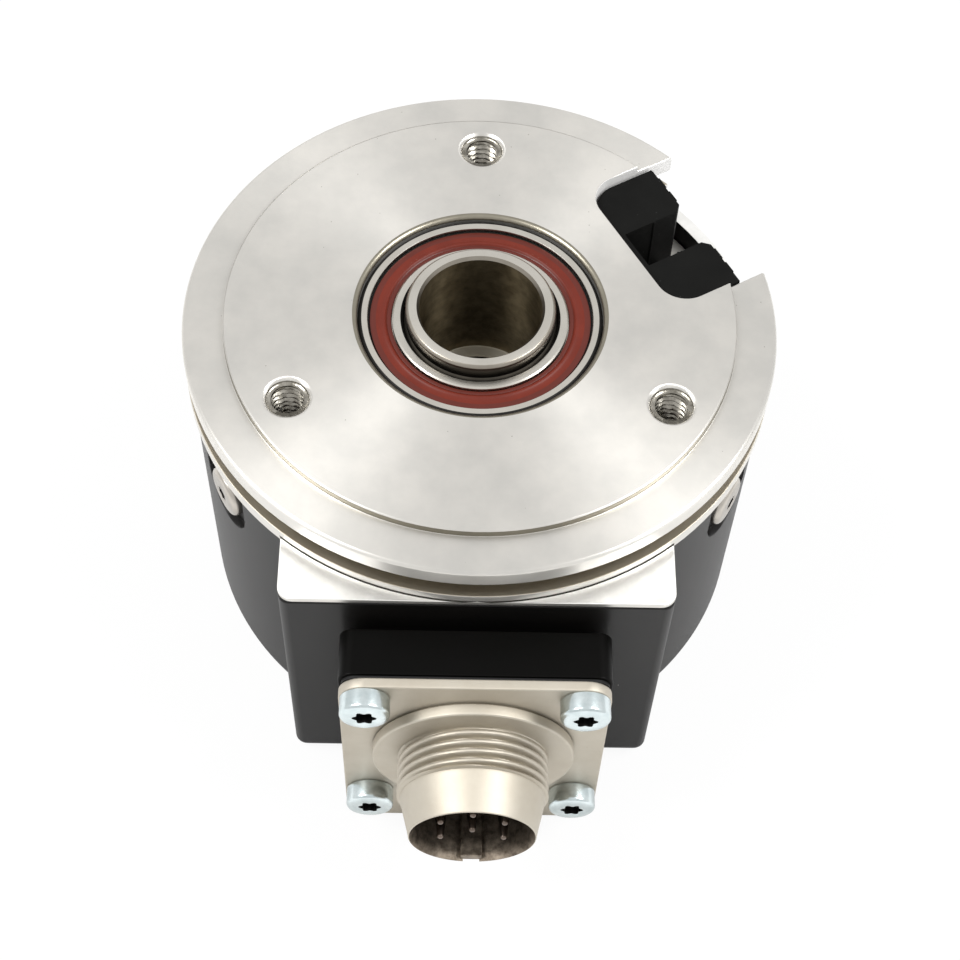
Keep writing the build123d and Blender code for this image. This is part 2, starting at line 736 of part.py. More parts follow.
def make_connector_shell():
    """Plate, collar, threaded part, tapering barrel and rear sleeve in one turned and milled piece."""
    sheet = plate_outline(connector_plate_half_width, block_top, connector_plate_bottom,
                          connector_plate_corner)
    body = Pos(0, -plate_back, 0) * extrude(sheet, connector_plate_thickness)
    body += turned_connector([
        (0, cover_front), (sleeve_r, cover_front), (sleeve_r, plate_front), (collar_r, plate_front),
        (collar_r, collar_front - shell_edge), (collar_r - shell_edge, collar_front),
        (thread_r, collar_front), (thread_r, thread_front), (barrel_r, thread_front + shell_edge),
        (barrel_r, thread_front + barrel_straight), (mouth_r, mouth_y - shell_edge),
        (mouth_r - shell_edge, mouth_y),
        (0, mouth_y),
    ])
    body -= turned_connector([
        (0, cover_front), (socket_r, cover_front), (socket_r, mouth_y), (0, mouth_y)])
    groove = box(-key_half_width, key_half_width, -mouth_y, -mouth_y + key_length,
                 connector_z - barrel_r, connector_z - socket_r + key_depth - 2 * barrel_wall)
    rib = box(-key_half_width - barrel_wall, key_half_width + barrel_wall, -mouth_y,
              -mouth_y + key_length + barrel_wall, connector_z - socket_r,
              connector_z - socket_r + key_depth)
    reach = socket_r + shell_edge
    envelope = turned_connector([(0, socket_floor), (reach, socket_floor),
                                 (reach, mouth_y - shell_edge), (0, mouth_y - shell_edge)])
    body += rib & envelope
    body -= groove
    for x, z in connector_screw_places():
        body -= forward_rod(connector_screw_r, plate_front + 1, plate_back - 1, x, z)
    return body


def make_connector_insert():
    """Insulator with a hole for each pin."""
    body = forward_rod(socket_r, socket_floor, cover_front)
    for x, z in pin_places:
        body -= forward_rod(pin_r, socket_floor + 1, cover_front - 1, x, z)
    return body


def make_connector_pins():
    """Six male pins with rounded points, through the insulator and the small board behind it."""
    tail = board_rear_y - pin_tail
    pins = []
    for x, z in pin_places:
        shank = pin_tip_y - pin_point_length
        outline = Polyline((0, -tail), (pin_r, -tail), (pin_r, -shank))
        outline += Spline((pin_r, -shank), (0.75 * pin_r, -shank - 0.65 * pin_point_length),
                          (0, -pin_tip_y), tangents=((0, -1), (-1, 0)))
        outline += Line((0, -pin_tip_y), (0, -tail))
        pins.append(Pos(x, 0, z + connector_z) * revolve(make_face(outline), Axis.Y))
    return Compound(pins)


def make_connector_screws():
    """Four pan head screws with a six-lobed socket."""
    screws = []
    top = plate_front + connector_screw_head
    end = block_front - connector_screw_length + connector_screw_end_gap
    recess = Circle(lobe_core_r)
    for k in range(lobe_count):
        angle = radians(360 / lobe_count * k)
        recess += Pos(lobe_circle_r * cos(angle), lobe_circle_r * sin(angle)) * Circle(lobe_r)
    for x, z in connector_screw_places():
        head = forward_rod(connector_screw_head_r, top, plate_front, x, z)
        head = fillet(head.edges().sort_by(Axis.Y)[0], connector_screw_head_round)
        tool = Pos(x, lobe_depth - top, z + connector_z) * Rot(90, 0, 0) * extrude(recess, lobe_depth)
        screws.append(head - tool + forward_rod(connector_screw_r, plate_front, end, x, z))
    return Compound(screws)


def make_connector_board():
    """Small board that the pins are soldered to."""
    half = connector_board_half_width
    body = box(-half, half, -connector_board_front, -board_rear_y,
               connector_z - connector_board_below_axis, plug_bottom - connector_board_below_plug)
    for x, z in pin_places:
        body -= forward_rod(pin_r, connector_board_front + 1, board_rear_y - 1, x, z)
    return body


def make_ribbon():
    """Flat cable from the small board down to the round board."""
    high = connector_z - ribbon_below_axis
    turn_y = -board_rear_y + ribbon_reach
    path = FilletPolyline((0, -board_rear_y, high), (0, turn_y, high), (0, turn_y, board_top),
                          radius=ribbon_bend)
    section = Plane.XZ * Pos(0, high) * Rectangle(2 * ribbon_half_width, ribbon_thickness)
    return sweep(Pos(0, -board_rear_y, 0) * section, path=path)


def make_rear_plug():
    """Slotted plug that closes the way to the shaft's centre screw."""
    lip_r = plug_hole_r + rear_plug_lip_step - rear_plug_fit
    lip_top = cover_bottom + rear_plug_lip
    groove_r = plug_hole_r - 2 * rear_seal_wire_r
    groove_top = lip_top + 2 * rear_seal_wire_r
    inside_r = plug_hole_r - rear_plug_wall
    top = cover_inside + rear_plug_inner
    slot_end = plug_hole_r - rear_slot_inset
    body = turned([
        (0, cover_bottom), (lip_r, cover_bottom), (lip_r, lip_top), (groove_r, lip_top),
        (groove_r, groove_top), (plug_hole_r, groove_top), (plug_hole_r, top - rear_plug_edge),
        (plug_hole_r - rear_plug_edge, top), (inside_r, top), (inside_r, cover_inside), (0, cover_inside),
    ])
    return body - box(-slot_end, slot_end, -rear_slot_width / 2, rear_slot_width / 2,
                      cover_bottom, cover_bottom + rear_slot_depth)


def make_plug_seal():
    """Small O-ring under the plug's lip."""
    height = cover_bottom + rear_plug_lip + rear_seal_wire_r
    return Pos(0, 0, height) * Torus(plug_hole_r - rear_seal_wire_r, rear_seal_wire_r)


front = bearing_parts(front_bearing_top)
rear = bearing_parts(rear_bearing_top)

pieces = {
    "flange": make_flange(),
    "slot_insert": make_slot_insert(),
    "cover": make_cover(),
    "cover_screws": make_cover_screws(),
    "cover_seal": make_cover_seal(),
    "hollow_shaft": make_shaft(),
    "bearing_spacer": make_bearing_spacer(),
    "bearing_spring": make_bearing_spring(),
    "hub_clip": make_hub_clip(),
    "shaft_clip": make_shaft_clip(),
    "disc_hub": make_disc_hub(),
    "disc_hub_screws": make_disc_hub_screws(),
    "code_disc": ring(disc_r, hub_sleeve_r, disc_top, disc_bottom),
    "disc_clamp_ring": ring(clamp_ring_r, hub_sleeve_r, disc_top + clamp_ring_thickness, disc_top),
    "lamp_holder": make_lamp_holder(),
    "light_source": make_light_source(),
    "scanning_mask": make_scanning_mask(),
    "mask_holder": make_mask_holder(),
    "sensor_chip": make_sensor(),
    "circuit_board": make_circuit_board(),
    "board_components": make_board_components(),
    "board_standoffs": make_standoffs(),
    "board_screws": make_board_screws(),
    "connector_block": make_connector_block(),
    "connector_gasket": make_connector_gasket(),
    "connector_shell": make_connector_shell(),
    "connector_insert": make_connector_insert(),
    "connector_pins": make_connector_pins(),
    "connector_screws": make_connector_screws(),
    "connector_board": make_connector_board(),
    "ribbon_cable": make_ribbon(),
    "rear_plug": make_rear_plug(),
    "plug_seal": make_plug_seal(),
}
for place, parts in (("front", front), ("rear", rear)):
    for name, shape in zip(("inner_ring", "outer_ring", "seals", "balls", "cage"), parts):
        pieces[f"{place}_bearing_{name}"] = shape

os.makedirs("parts", exist_ok=True)
for name, shape in pieces.items():
    export_step(shape, f"parts/{name}.step")
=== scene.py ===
import logging
import math
from collections.abc import Callable, Sequence
from dataclasses import dataclass
from enum import Enum
from functools import cache

import bmesh
import bpy
from mathutils import Matrix, Vector


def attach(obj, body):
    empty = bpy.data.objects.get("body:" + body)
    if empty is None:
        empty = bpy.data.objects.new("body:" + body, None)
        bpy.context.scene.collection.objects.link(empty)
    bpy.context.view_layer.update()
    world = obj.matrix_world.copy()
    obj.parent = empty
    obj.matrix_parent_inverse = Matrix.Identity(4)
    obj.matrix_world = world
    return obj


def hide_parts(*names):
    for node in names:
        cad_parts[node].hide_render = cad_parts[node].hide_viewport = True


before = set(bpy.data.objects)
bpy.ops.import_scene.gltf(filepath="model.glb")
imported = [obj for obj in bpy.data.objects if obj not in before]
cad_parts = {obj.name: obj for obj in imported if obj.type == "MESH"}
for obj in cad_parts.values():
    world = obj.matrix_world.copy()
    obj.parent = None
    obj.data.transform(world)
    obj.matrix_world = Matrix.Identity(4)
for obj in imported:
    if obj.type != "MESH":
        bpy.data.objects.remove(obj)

LOG = logging.getLogger("encoder")
MM = 0.001
CONNECTOR_Z = -21.3
# A speck's cell is this many specks wide, and the speck fills this much of it.
SPECK_SPACING = 6
SPECK_REACH = 0.085
# The share of a turn that lays a turned metal's streaks across its rings.
QUARTER_TURN = 0.25
# Points nearer than this, in metres, become one: in a new mesh, and in a packed one.
NEW_WELD = 2e-7
PACKED_WELD = 1e-6
# Faces flatter than the first angle are joined. Edges sharper than the second are broken in soften, and
# edges sharper than the third stay crisp in shading.
FLAT_ANGLE = math.radians(0.4)
BROKEN_ANGLE = math.radians(35)
CRISP_ANGLE = math.radians(30)
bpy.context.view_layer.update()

Point = tuple[float, float]
Place = tuple[float, float, float]
Colour = tuple[float, float, float, float]
Piece = bpy.types.Object
Tree = bpy.types.NodeTree
Socket = bpy.types.NodeSocket


# Colours, nodes and objects


def srgb(code: str) -> Colour:
    """Turn an sRGB hex value into a linear colour.

    Args:
        code: six hex digits, such as "c8c6c0".

    Returns:
        Linear red, green, blue and an alpha of 1.
    """
    channels = [int(code[k:k + 2], 16) / 255 for k in (0, 2, 4)]
    linear = [c / 12.92 if c <= 0.04045 else ((c + 0.055) / 1.055) ** 2.4 for c in channels]
    return (*linear, 1.0)


def add_node(tree: Tree, kind: str, settings: dict, links: dict) -> bpy.types.Node:
    """Add a shader node with its settings and links.

    Args:
        tree: the material's or world's node tree.
        kind: the node's class name after "ShaderNode".
        settings: values by input name, input number or attribute name.
        links: output sockets by the input's name or number.

    Returns:
        The new node.
    """
    node = tree.nodes.new("ShaderNode" + kind)
    for key, value in settings.items():
        if isinstance(key, str) and hasattr(node, key):
            setattr(node, key, value)
    for key, value in settings.items():
        if not (isinstance(key, str) and hasattr(node, key)):
            node.inputs[key].default_value = value
    for key, source in links.items():
        tree.links.new(source, node.inputs[key])
    return node


def fresh_tree(owner: bpy.types.Material | bpy.types.World) -> Tree:
    """Switch on the nodes of a material or world and empty them.

    Args:
        owner: the material or world.

    Returns:
        Its empty node tree.
    """
    owner.use_nodes = True
    owner.node_tree.nodes.clear()
    return owner.node_tree


def ray_share(tree: Tree, rays: Sequence[str]) -> Socket:
    """Tell some kinds of ray from the others.

    Args:
        tree: the material's or world's node tree.
        rays: Light Path's names of these kinds.

    Returns:
        A socket that is 1 for a ray of these kinds and 0 for any other.
    """
    path = add_node(tree, "LightPath", {}, {})
    share = path.outputs[rays[0]]
    for ray in rays[1:]:
        share = add_node(tree, "Math", {"operation": "MAXIMUM"}, {0: share, 1: path.outputs[ray]}).outputs[0]
    return share


def add_object(name: str, data: bpy.types.ID) -> Piece:
    """Put a mesh, lamp or camera into the scene.

    Args:
        name: the object's name.
        data: what it holds.

    Returns:
        The new object.
    """
    made = bpy.data.objects.new(name, data)
    bpy.context.scene.collection.objects.link(made)
    return made


class Form(Enum):
    """The section of a screw thread."""

    SHARP = "sharp"
    ROUND = "round"


class Lay(Enum):
    """The direction of a machining mark on a metal surface."""

    TURNED = "turned"
    MILLED = "milled"
    NONE = "none"


# Finishes


@dataclass(frozen=True)
class Finish:
    """A surface made in one way, with a material of the same name.

    The values are for the whole surface. A pattern size is the distance between its marks in
    millimetres.
    """

    name: str
    colour: str
    second_colour: str
    metallic: float = 0.0
    roughness: float = 0.5
    specular: float = 0.5
    ior: float = 1.5
    patch_mm: float = 6.0
    patch_mix: float = 0.5
    grain_mm: float = 0.1
    grain_height_mm: float = 0.0
    lay: Lay = Lay.NONE
    lay_mm: float = 0.15
    lay_height_mm: float = 0.0
    anisotropy: float = 0.0
    speck_mm: float = 0.0
    speck_colour: str = "ffffff"
    speck_share: float = 0.0
    coat: float = 0.0
    transmission: float = 0.0

    def pattern_vector(self, tree: Tree) -> Socket:
        """Coordinates that run across the machining marks.

        Args:
            tree: the material's node tree.

        Returns:
            A vector socket whose first component changes across the marks.
        """
        place = add_node(tree, "TexCoord", {}, {}).outputs["Object"]
        if self.lay is Lay.NONE:
            return place
        split = add_node(tree, "SeparateXYZ", {}, {"Vector": place})
        if self.lay is Lay.MILLED:
            beside = add_node(tree, "CombineXYZ", {}, {"X": split.outputs["X"], "Y": split.outputs["Z"]})
            return beside.outputs[0]
        flat = add_node(tree, "CombineXYZ", {}, {"X": split.outputs["X"], "Y": split.outputs["Y"]})
        reach = add_node(tree, "VectorMath", {"operation": "LENGTH"}, {0: flat.outputs[0]})
        across = add_node(tree, "Math", {"operation": "ADD"},
                          {0: reach.outputs["Value"], 1: split.outputs["Z"]})
        return add_node(tree, "CombineXYZ", {}, {"X": across.outputs[0]}).outputs[0]

    def base_colour(self, tree: Tree) -> Socket:
        """Mix the two colours in soft patches and sprinkle specks.

        Args:
            tree: the material's node tree.

        Returns:
            A colour socket.
        """
        place = add_node(tree, "TexCoord", {}, {}).outputs["Object"]
        patches = add_node(tree, "TexNoise", {"Scale": 1 / (self.patch_mm * MM), "Detail": 4.0,
                                             "Roughness": 0.6}, {"Vector": place})
        share = add_node(tree, "MapRange", {"From Min": 0.35, "From Max": 0.65, "To Min": 0.0,
                                            "To Max": self.patch_mix}, {"Value": patches.outputs[0]})
        mixed = add_node(tree, "MixRGB", {"Color1": srgb(self.colour), "Color2": srgb(self.second_colour)},
                         {"Fac": share.outputs[0]}).outputs[0]
        if self.speck_mm == 0:
            return mixed
        scale = 1 / (SPECK_SPACING * self.speck_mm * MM)
        cells = add_node(tree, "TexVoronoi", {"Scale": scale}, {"Vector": place})
        near = add_node(tree, "Math", {"operation": "LESS_THAN", 1: SPECK_REACH},
                        {0: cells.outputs["Distance"]})
        chance = add_node(tree, "SeparateColor", {}, {"Color": cells.outputs["Color"]})
        picked = add_node(tree, "Math", {"operation": "LESS_THAN", 1: self.speck_share},
                          {0: chance.outputs[0]})
        speck = add_node(tree, "Math", {"operation": "MULTIPLY"}, {0: near.outputs[0], 1: picked.outputs[0]})
        return add_node(tree, "MixRGB", {"Color2": srgb(self.speck_colour)},
                        {"Fac": speck.outputs[0], "Color1": mixed}).outputs[0]

    def height(self, tree: Tree) -> Socket | None:
        """Fine relief of the surface as a chain of bump nodes.

        Args:
            tree: the material's node tree.

        Returns:
            A normal socket, or nothing for a smooth surface.
        """
        normal = None
        if self.grain_height_mm > 0:
            place = add_node(tree, "TexCoord", {}, {}).outputs["Object"]
            grain = add_node(tree, "TexNoise", {"Scale": 1 / (self.grain_mm * MM), "Detail": 2.0},
                             {"Vector": place})
            normal = add_node(tree, "Bump", {"Distance": self.grain_height_mm * MM},
                              {"Height": grain.outputs[0]}).outputs[0]
        if self.lay_height_mm > 0:
            marks = add_node(tree, "TexNoise", {"Scale": 1 / (self.lay_mm * MM), "Detail": 3.0},
                             {"Vector": self.pattern_vector(tree)})
            links = {"Height": marks.outputs[0]}
            if normal is not None:
                links["Normal"] = normal
            normal = add_node(tree, "Bump", {"Distance": self.lay_height_mm * MM}, links).outputs[0]
        return normal

    @cache
    def material(self) -> bpy.types.Material:
        """Build the material once.

        Returns:
            The finished material.
        """
        made = bpy.data.materials.new(self.name)
        tree = fresh_tree(made)
        links = {"Base Color": self.base_colour(tree)}
        normal = self.height(tree)
        if normal is not None:
            links["Normal"] = normal
        if self.anisotropy > 0:
            round_axis = add_node(tree, "Tangent", {"direction_type": "RADIAL", "axis": "Z"}, {})
            links["Tangent"] = round_axis.outputs[0]
        settings = {"Metallic": self.metallic, "Roughness": self.roughness,
                    "Specular IOR Level": self.specular, "IOR": self.ior, "Anisotropic": self.anisotropy,
                    "Anisotropic Rotation": QUARTER_TURN, "Coat Weight": self.coat,
                    "Transmission Weight": self.transmission}
        surface = add_node(tree, "BsdfPrincipled", settings, links)
        add_node(tree, "OutputMaterial", {}, {"Surface": surface.outputs[0]})
        return made


# Turned and milled aluminium: light grey, with fine rings that pull a lamp into a radial streak.
TURNED_ALUMINIUM = Finish(
    "aluminium_turned", "d4d1cb", "c7c5c0", metallic=1.0, roughness=0.36, patch_mm=5, patch_mix=0.8,
    lay=Lay.TURNED, lay_mm=0.16, lay_height_mm=0.003, anisotropy=0.75, grain_mm=0.12,
    grain_height_mm=0.002, speck_mm=0.1, speck_colour="8a867c", speck_share=0.05)
# Black anodised aluminium: warm dark grey, satin, with fine dust that shows as light specks.
BLACK_ANODISED = Finish(
    "aluminium_black_anodised", "0f0e0d", "161412", roughness=0.38, specular=0.2, patch_mm=7,
    grain_mm=0.12, grain_height_mm=0.004, speck_mm=0.1, speck_colour="b8b4ac", speck_share=0.02)
# Black paint over cast aluminium: deeper black than the cover, with fine light dust.
BLACK_PAINT = Finish(
    "aluminium_black_painted", "040403", "060505", roughness=0.4, specular=0.06, patch_mm=6,
    grain_mm=0.15, grain_height_mm=0.004, speck_mm=0.13, speck_colour="c8c4bc", speck_share=0.04)
# Moulded black engineering plastic: matte, slightly milled on top.
BLACK_POLYMER = Finish(
    "polyamide_black_moulded", "0b0b0a", "121211", roughness=0.7, specular=0.08, patch_mm=3,
    lay=Lay.MILLED, lay_mm=0.6, lay_height_mm=0.02,
    grain_mm=0.15, grain_height_mm=0.01, speck_mm=0.08, speck_colour="3c3c3c", speck_share=0.1)
# Bare steel screw: warm grey with a soft shine.
BARE_STEEL = Finish(
    "steel_bare", "b5b0a8", "a29c93", metallic=1.0, roughness=0.32, patch_mm=1.5,
    grain_mm=0.12, grain_height_mm=0.006)
# Ground bearing steel: clean light grey, with grinding lines round the ring.
GROUND_STEEL = Finish(
    "bearing_steel_ground", "c6c2ba", "b3afa6", metallic=1.0, roughness=0.24, patch_mm=4,
    lay=Lay.TURNED, lay_mm=0.12, lay_height_mm=0.002, anisotropy=0.4)
# Turned and honed steel shaft: a warm, darker mirror with fine rings.
HONED_STEEL = Finish(
    "shaft_steel_honed", "7b6f58", "4a402d", metallic=1.0, roughness=0.33, patch_mm=1.4, patch_mix=0.7,
    lay=Lay.TURNED, lay_mm=0.6, lay_height_mm=0.05, anisotropy=0.95)
# Faced step inside the shaft: a light grey ledge, barely metallic, a painted highlight for the light falling
# into the shaft.
FACED_HIGHLIGHT_STEEL = Finish(
    "shaft_steel_faced_painted_highlight", "e0dccf", "c9c4b4", metallic=0.3, roughness=0.55, patch_mm=2)
# Chamfers turned on the shaft's end: plain mid grey.
CHAMFER_STEEL = Finish(
    "shaft_steel_chamfered", "958f85", "837d73", metallic=1.0, roughness=0.3, patch_mm=2)
# Shaft steel below its end face: dark and brownish, painted shade where the side drops into the gap beside
# the bearing.
SHADED_SHAFT_STEEL = Finish(
    "shaft_steel_painted_shade", "4e4a43", "35322d", metallic=1.0, roughness=0.35, patch_mm=1.5)
# Turned bevel and wall of the bearing seat, and the spigot's low wall: olive grey, darker than the flange's
# face, painted shade for these walls.
BEVEL_SHADE_ALUMINIUM = Finish(
    "aluminium_bevel_painted_shade", "8c877a", "7b766a", metallic=1.0, roughness=0.3, patch_mm=3,
    lay=Lay.TURNED, lay_mm=0.1, lay_height_mm=0.003)
# Moulded acrylic rubber seal: red-brown with a soft shine.
RED_SEAL = Finish(
    "acrylic_rubber_moulded", "5c1d10", "6d2515", roughness=0.4, specular=0.25, patch_mm=3,
    grain_mm=0.2, grain_height_mm=0.004)
# Nitrile rubber: deep matte black; also painted shadow at the seals' outer edges.
BLACK_RUBBER_AND_SHADOW = Finish(
    "nitrile_rubber_moulded", "101010", "161616", roughness=0.6, specular=0.3)
# Nickel over a blasted casting: warm champagne grey with a fine even grain.
SATIN_NICKEL = Finish(
    "nickel_plate_blasted", "b7b1a5", "a9a193", metallic=1.0, roughness=0.56, patch_mm=4,
    grain_mm=0.14, grain_height_mm=0.008, speck_mm=0.08, speck_colour="94897a", speck_share=0.04)
# Zinc plated screw: bluish white and bright.
ZINC_STEEL = Finish(
    "zinc_plate_blue_passivated", "ccd5d6", "a5b2b4", metallic=1.0, roughness=0.24, patch_mm=1.5,
    grain_mm=0.2, grain_height_mm=0.003)
# Silver plated contact, tarnished: brown-grey and soft.
SILVER_PLATE = Finish(
    "silver_plate_tumbled", "6e635b", "4a423c", metallic=1.0, roughness=0.3, patch_mm=1.2)
# Moulded insulator: dark brown-black.
INSULATOR = Finish(
    "polybutylene_moulded", "17130f", "1e1914", roughness=0.5, specular=0.3, patch_mm=2)
# Phosphated spring steel: dark grey, dull.
SPRING_STEEL = Finish(
    "spring_steel_phosphated", "4a4844", "3a3835", metallic=0.8, roughness=0.45, patch_mm=1.5)
# Moulded bearing cage: ivory plastic.
CAGE_POLYMER = Finish(
    "polyamide_natural_moulded", "c9b795", "b8a582", roughness=0.5, patch_mm=2)
# Turned hub aluminium: a neutral light grey with fine rings.
HUB_ALUMINIUM = Finish(
    "hub_aluminium_turned", "cbcbcc", "bcbcbe", metallic=1.0, roughness=0.3, patch_mm=4,
    lay=Lay.TURNED, lay_mm=0.2, lay_height_mm=0.004, anisotropy=0.4)
# Chrome on glass: clear disc with a greenish edge.
DISC_GLASS = Finish(
    "glass_polished", "dfe9e5", "d3e0dc", roughness=0.05, ior=1.52, transmission=0.8, patch_mix=0.2)
# Cast clear resin of the lamp.
LAMP_RESIN = Finish(
    "epoxy_clear_cast", "dfe4ea", "d2d8e0", roughness=0.12, ior=1.54, transmission=0.6)
# Glass fibre board under green solder resist: slightly glossy.
BOARD_LAMINATE = Finish(
    "glass_epoxy_solder_resist", "1e5230", "173f26", roughness=0.35, patch_mm=0.8, coat=0.3)
# Moulded chip package: near-black and matte.
CHIP_PACKAGE = Finish(
    "epoxy_package_moulded", "1d1d1e", "252526", roughness=0.55, patch_mm=1)
# Aluminium in the servo groove: a warm grey, duller than the face, painted shade for the groove's hollow.
GROOVE_SHADE_ALUMINIUM = Finish(
    "aluminium_groove_painted_shade", "ada596", "9c9483", metallic=1.0, roughness=0.42, patch_mm=5,
    lay=Lay.TURNED, lay_mm=0.16, lay_height_mm=0.004)
# End-milled aluminium: brighter than the turned faces, with crossing cutter marks.
MILLED_ALUMINIUM = Finish(
    "aluminium_milled", "f2f1ee", "e4e3df", metallic=1.0, roughness=0.4, patch_mm=2, patch_mix=0.8,
    lay=Lay.MILLED, lay_mm=0.3, lay_height_mm=0.01)
# Aluminium left matt by a blunt end mill; its near-white, barely metallic colour is a painted highlight on
# the pocket's walls.
MATT_HIGHLIGHT_ALUMINIUM = Finish(
    "aluminium_milled_painted_highlight", "fbfaf8", "f2f1ee", metallic=0.05, roughness=0.6, patch_mm=1.5,
    lay=Lay.MILLED, lay_mm=0.3, lay_height_mm=0.01)
# Inner corner beside the tongue: a near black line of painted shade.
CORNER_SHADE_ALUMINIUM = Finish(
    "aluminium_corner_painted_shade", "2b2822", "1d1b16", metallic=0.5, roughness=0.5, patch_mm=2)
# Tapped aluminium: thread flanks darker and rougher, the dark colour painted shade inside the holes.
HOLE_SHADE_ALUMINIUM = Finish(
    "aluminium_tapped_painted_shade", "a5a198", "6b675e", metallic=1.0, roughness=0.25, patch_mm=0.8, patch_mix=0.9,
    grain_mm=0.15, grain_height_mm=0.01)
# Dark edge of a bearing ring: its unground chamfer, darkened further as painted shade for the gap beside it;
# also painted shade inside a screw head's socket.
DARK_EDGE_AND_SHADE_STEEL = Finish(
    "steel_dark_edge_painted_shade", "1b1a19", "2a2826", metallic=0.6, roughness=0.5, patch_mm=0.8)
# Rubber bead and lip that sit lower: a darker red-brown, painted shade.
SHADED_SEAL = Finish(
    "acrylic_rubber_painted_shade", "4e180d", "581d12", roughness=0.35, specular=0.35, patch_mm=2)
# Nickel plate inside the socket: dark brown-grey and grainy, painted shade for the deep socket.
SHADED_NICKEL = Finish(
    "nickel_plate_painted_shade", "94897b", "5c5349", metallic=1.0, roughness=0.5, patch_mm=0.9, patch_mix=1.0,
    grain_mm=0.2, grain_height_mm=0.02)
# Ribbon cable insulation: mid grey, soft.
RIBBON_VINYL = Finish(
    "vinyl_grey_extruded", "9a9a97", "8c8c89", roughness=0.5, patch_mm=1.0)

CARRIED = {
    "cover_seal": BLACK_RUBBER_AND_SHADOW, "bearing_spacer": BARE_STEEL, "bearing_spring": SPRING_STEEL,
    "hub_clip": SPRING_STEEL, "shaft_clip": SPRING_STEEL, "disc_hub": HUB_ALUMINIUM,
    "disc_hub_screws": SPRING_STEEL, "code_disc": DISC_GLASS, "disc_clamp_ring": HUB_ALUMINIUM,
    "lamp_holder": BLACK_POLYMER, "light_source": LAMP_RESIN, "scanning_mask": DISC_GLASS,
    "mask_holder": BLACK_POLYMER, "sensor_chip": CHIP_PACKAGE, "circuit_board": BOARD_LAMINATE,
    "board_components": CHIP_PACKAGE, "board_standoffs": ZINC_STEEL, "board_screws": ZINC_STEEL,
    "connector_gasket": BLACK_RUBBER_AND_SHADOW, "connector_insert": INSULATOR, "connector_board": BOARD_LAMINATE,
    "ribbon_cable": RIBBON_VINYL, "plug_seal": BLACK_RUBBER_AND_SHADOW,
    "front_bearing_cage": CAGE_POLYMER, "rear_bearing_cage": CAGE_POLYMER,
}


# Mesh building, in millimetres


def new_piece(name: str, points: Sequence[Sequence[float]], faces: Sequence[Sequence[int]],
              finish: Finish) -> Piece:
    """Make a closed piece from points in millimetres.

    Args:
        name: the piece's name.
        points: corner points.
        faces: corner numbers of each face.
        finish: the finish of all its faces.

    Returns:
        The new object, with its normals pointing outwards.
    """
    mesh = bpy.data.meshes.new(name)
    mesh.from_pydata([tuple(c * MM for c in point) for point in points], [], faces)
    mesh.materials.append(finish.material())
    work = bmesh.new()
    work.from_mesh(mesh)
    bmesh.ops.remove_doubles(work, verts=work.verts, dist=NEW_WELD)
    bmesh.ops.recalc_face_normals(work, faces=work.faces)
    work.to_mesh(mesh)
    work.free()
    return add_object(name, mesh)


def lathe(name: str, outline: Sequence[Point], finish: Finish, steps: int = 192,
          warp: Callable[[float, float, float], float] | None = None) -> Piece:
    """Turn a closed outline about the Z axis.

    Args:
        name: the piece's name.
        outline: (radius, height) points in order round the section.
        finish: the finish of all its faces.
        steps: facets round the axis.
        warp: gives a new radius from a radius, a height and an angle, as a thread needs.

    Returns:
        The turned piece.
    """
    count = len(outline)
    points = []
    for k in range(steps):
        angle = 2 * math.pi * k / steps
        for radius, height in outline:
            reach = warp(radius, height, angle) if warp else radius
            points.append((reach * math.cos(angle), reach * math.sin(angle), height))
    faces = []
    for k in range(steps):
        turn = (k + 1) % steps
        for i in range(count):
            j = (i + 1) % count
            if outline[i][0] > 0 or outline[j][0] > 0:
                faces.append((k * count + i, k * count + j, turn * count + j, turn * count + i))
    return new_piece(name, points, faces, finish)


def prism(name: str, outline: Sequence[Point], low: float, high: float, finish: Finish) -> Piece:
    """Extrude an outline along Z.

    Args:
        name: the piece's name.
        outline: (x, y) points in order.
        low: the lower height.
        high: the upper height.
        finish: the finish of all its faces.

    Returns:
        The extruded piece.
    """
    count = len(outline)
    points = [(x, y, low) for x, y in outline] + [(x, y, high) for x, y in outline]
    faces = [tuple(range(count)), tuple(range(count, 2 * count))]
    faces += [(i, (i + 1) % count, count + (i + 1) % count, count + i) for i in range(count)]
    return new_piece(name, points, faces, finish)


def ball(name: str, radius: float, finish: Finish) -> Piece:
    """Turn a ball about the origin.

    Args:
        name: the piece's name.
        radius: its radius.
        finish: the finish of all its faces.

    Returns:
        The ball.
    """
    rows = 24
    turns = [math.pi * k / rows for k in range(rows + 1)]
    outline = [(radius * math.sin(turn) if 0 < k < rows else 0.0, -radius * math.cos(turn))
               for k, turn in enumerate(turns)]
    return lathe(name, outline, finish, 48)


def arc(middle: Point, radius: float, start: float, end: float, steps: int = 8) -> list[Point]:
    """Points along an arc.

    Args:
        middle: its centre.
        radius: its radius.
        start: first angle in degrees.
        end: last angle in degrees.
        steps: number of runs.

    Returns:
        The points, both ends included.
    """
    turns = [math.radians(start + (end - start) * k / steps) for k in range(steps + 1)]
    return [(middle[0] + radius * math.cos(t), middle[1] + radius * math.sin(t)) for t in turns]


def ring_places(radius: float, angles: Sequence[float]) -> list[Point]:
    """Places on a circle about the origin, from its radius and angles in degrees."""
    return [(radius * math.cos(math.radians(a)), radius * math.sin(math.radians(a))) for a in angles]


def rounded_plate(half_width: float, low: float, high: float, corner: float) -> list[Point]:
    """Outline of a plate with round corners.

    Args:
        half_width: half its width.
        low: its lower edge.
        high: its upper edge.
        corner: the corner radius.

    Returns:
        The outline's points.
    """
    inner = half_width - corner
    return (arc((inner, high - corner), corner, 0, 90) + arc((-inner, high - corner), corner, 90, 180)
            + arc((-inner, low + corner), corner, 180, 270) + arc((inner, low + corner), corner, 270, 360))


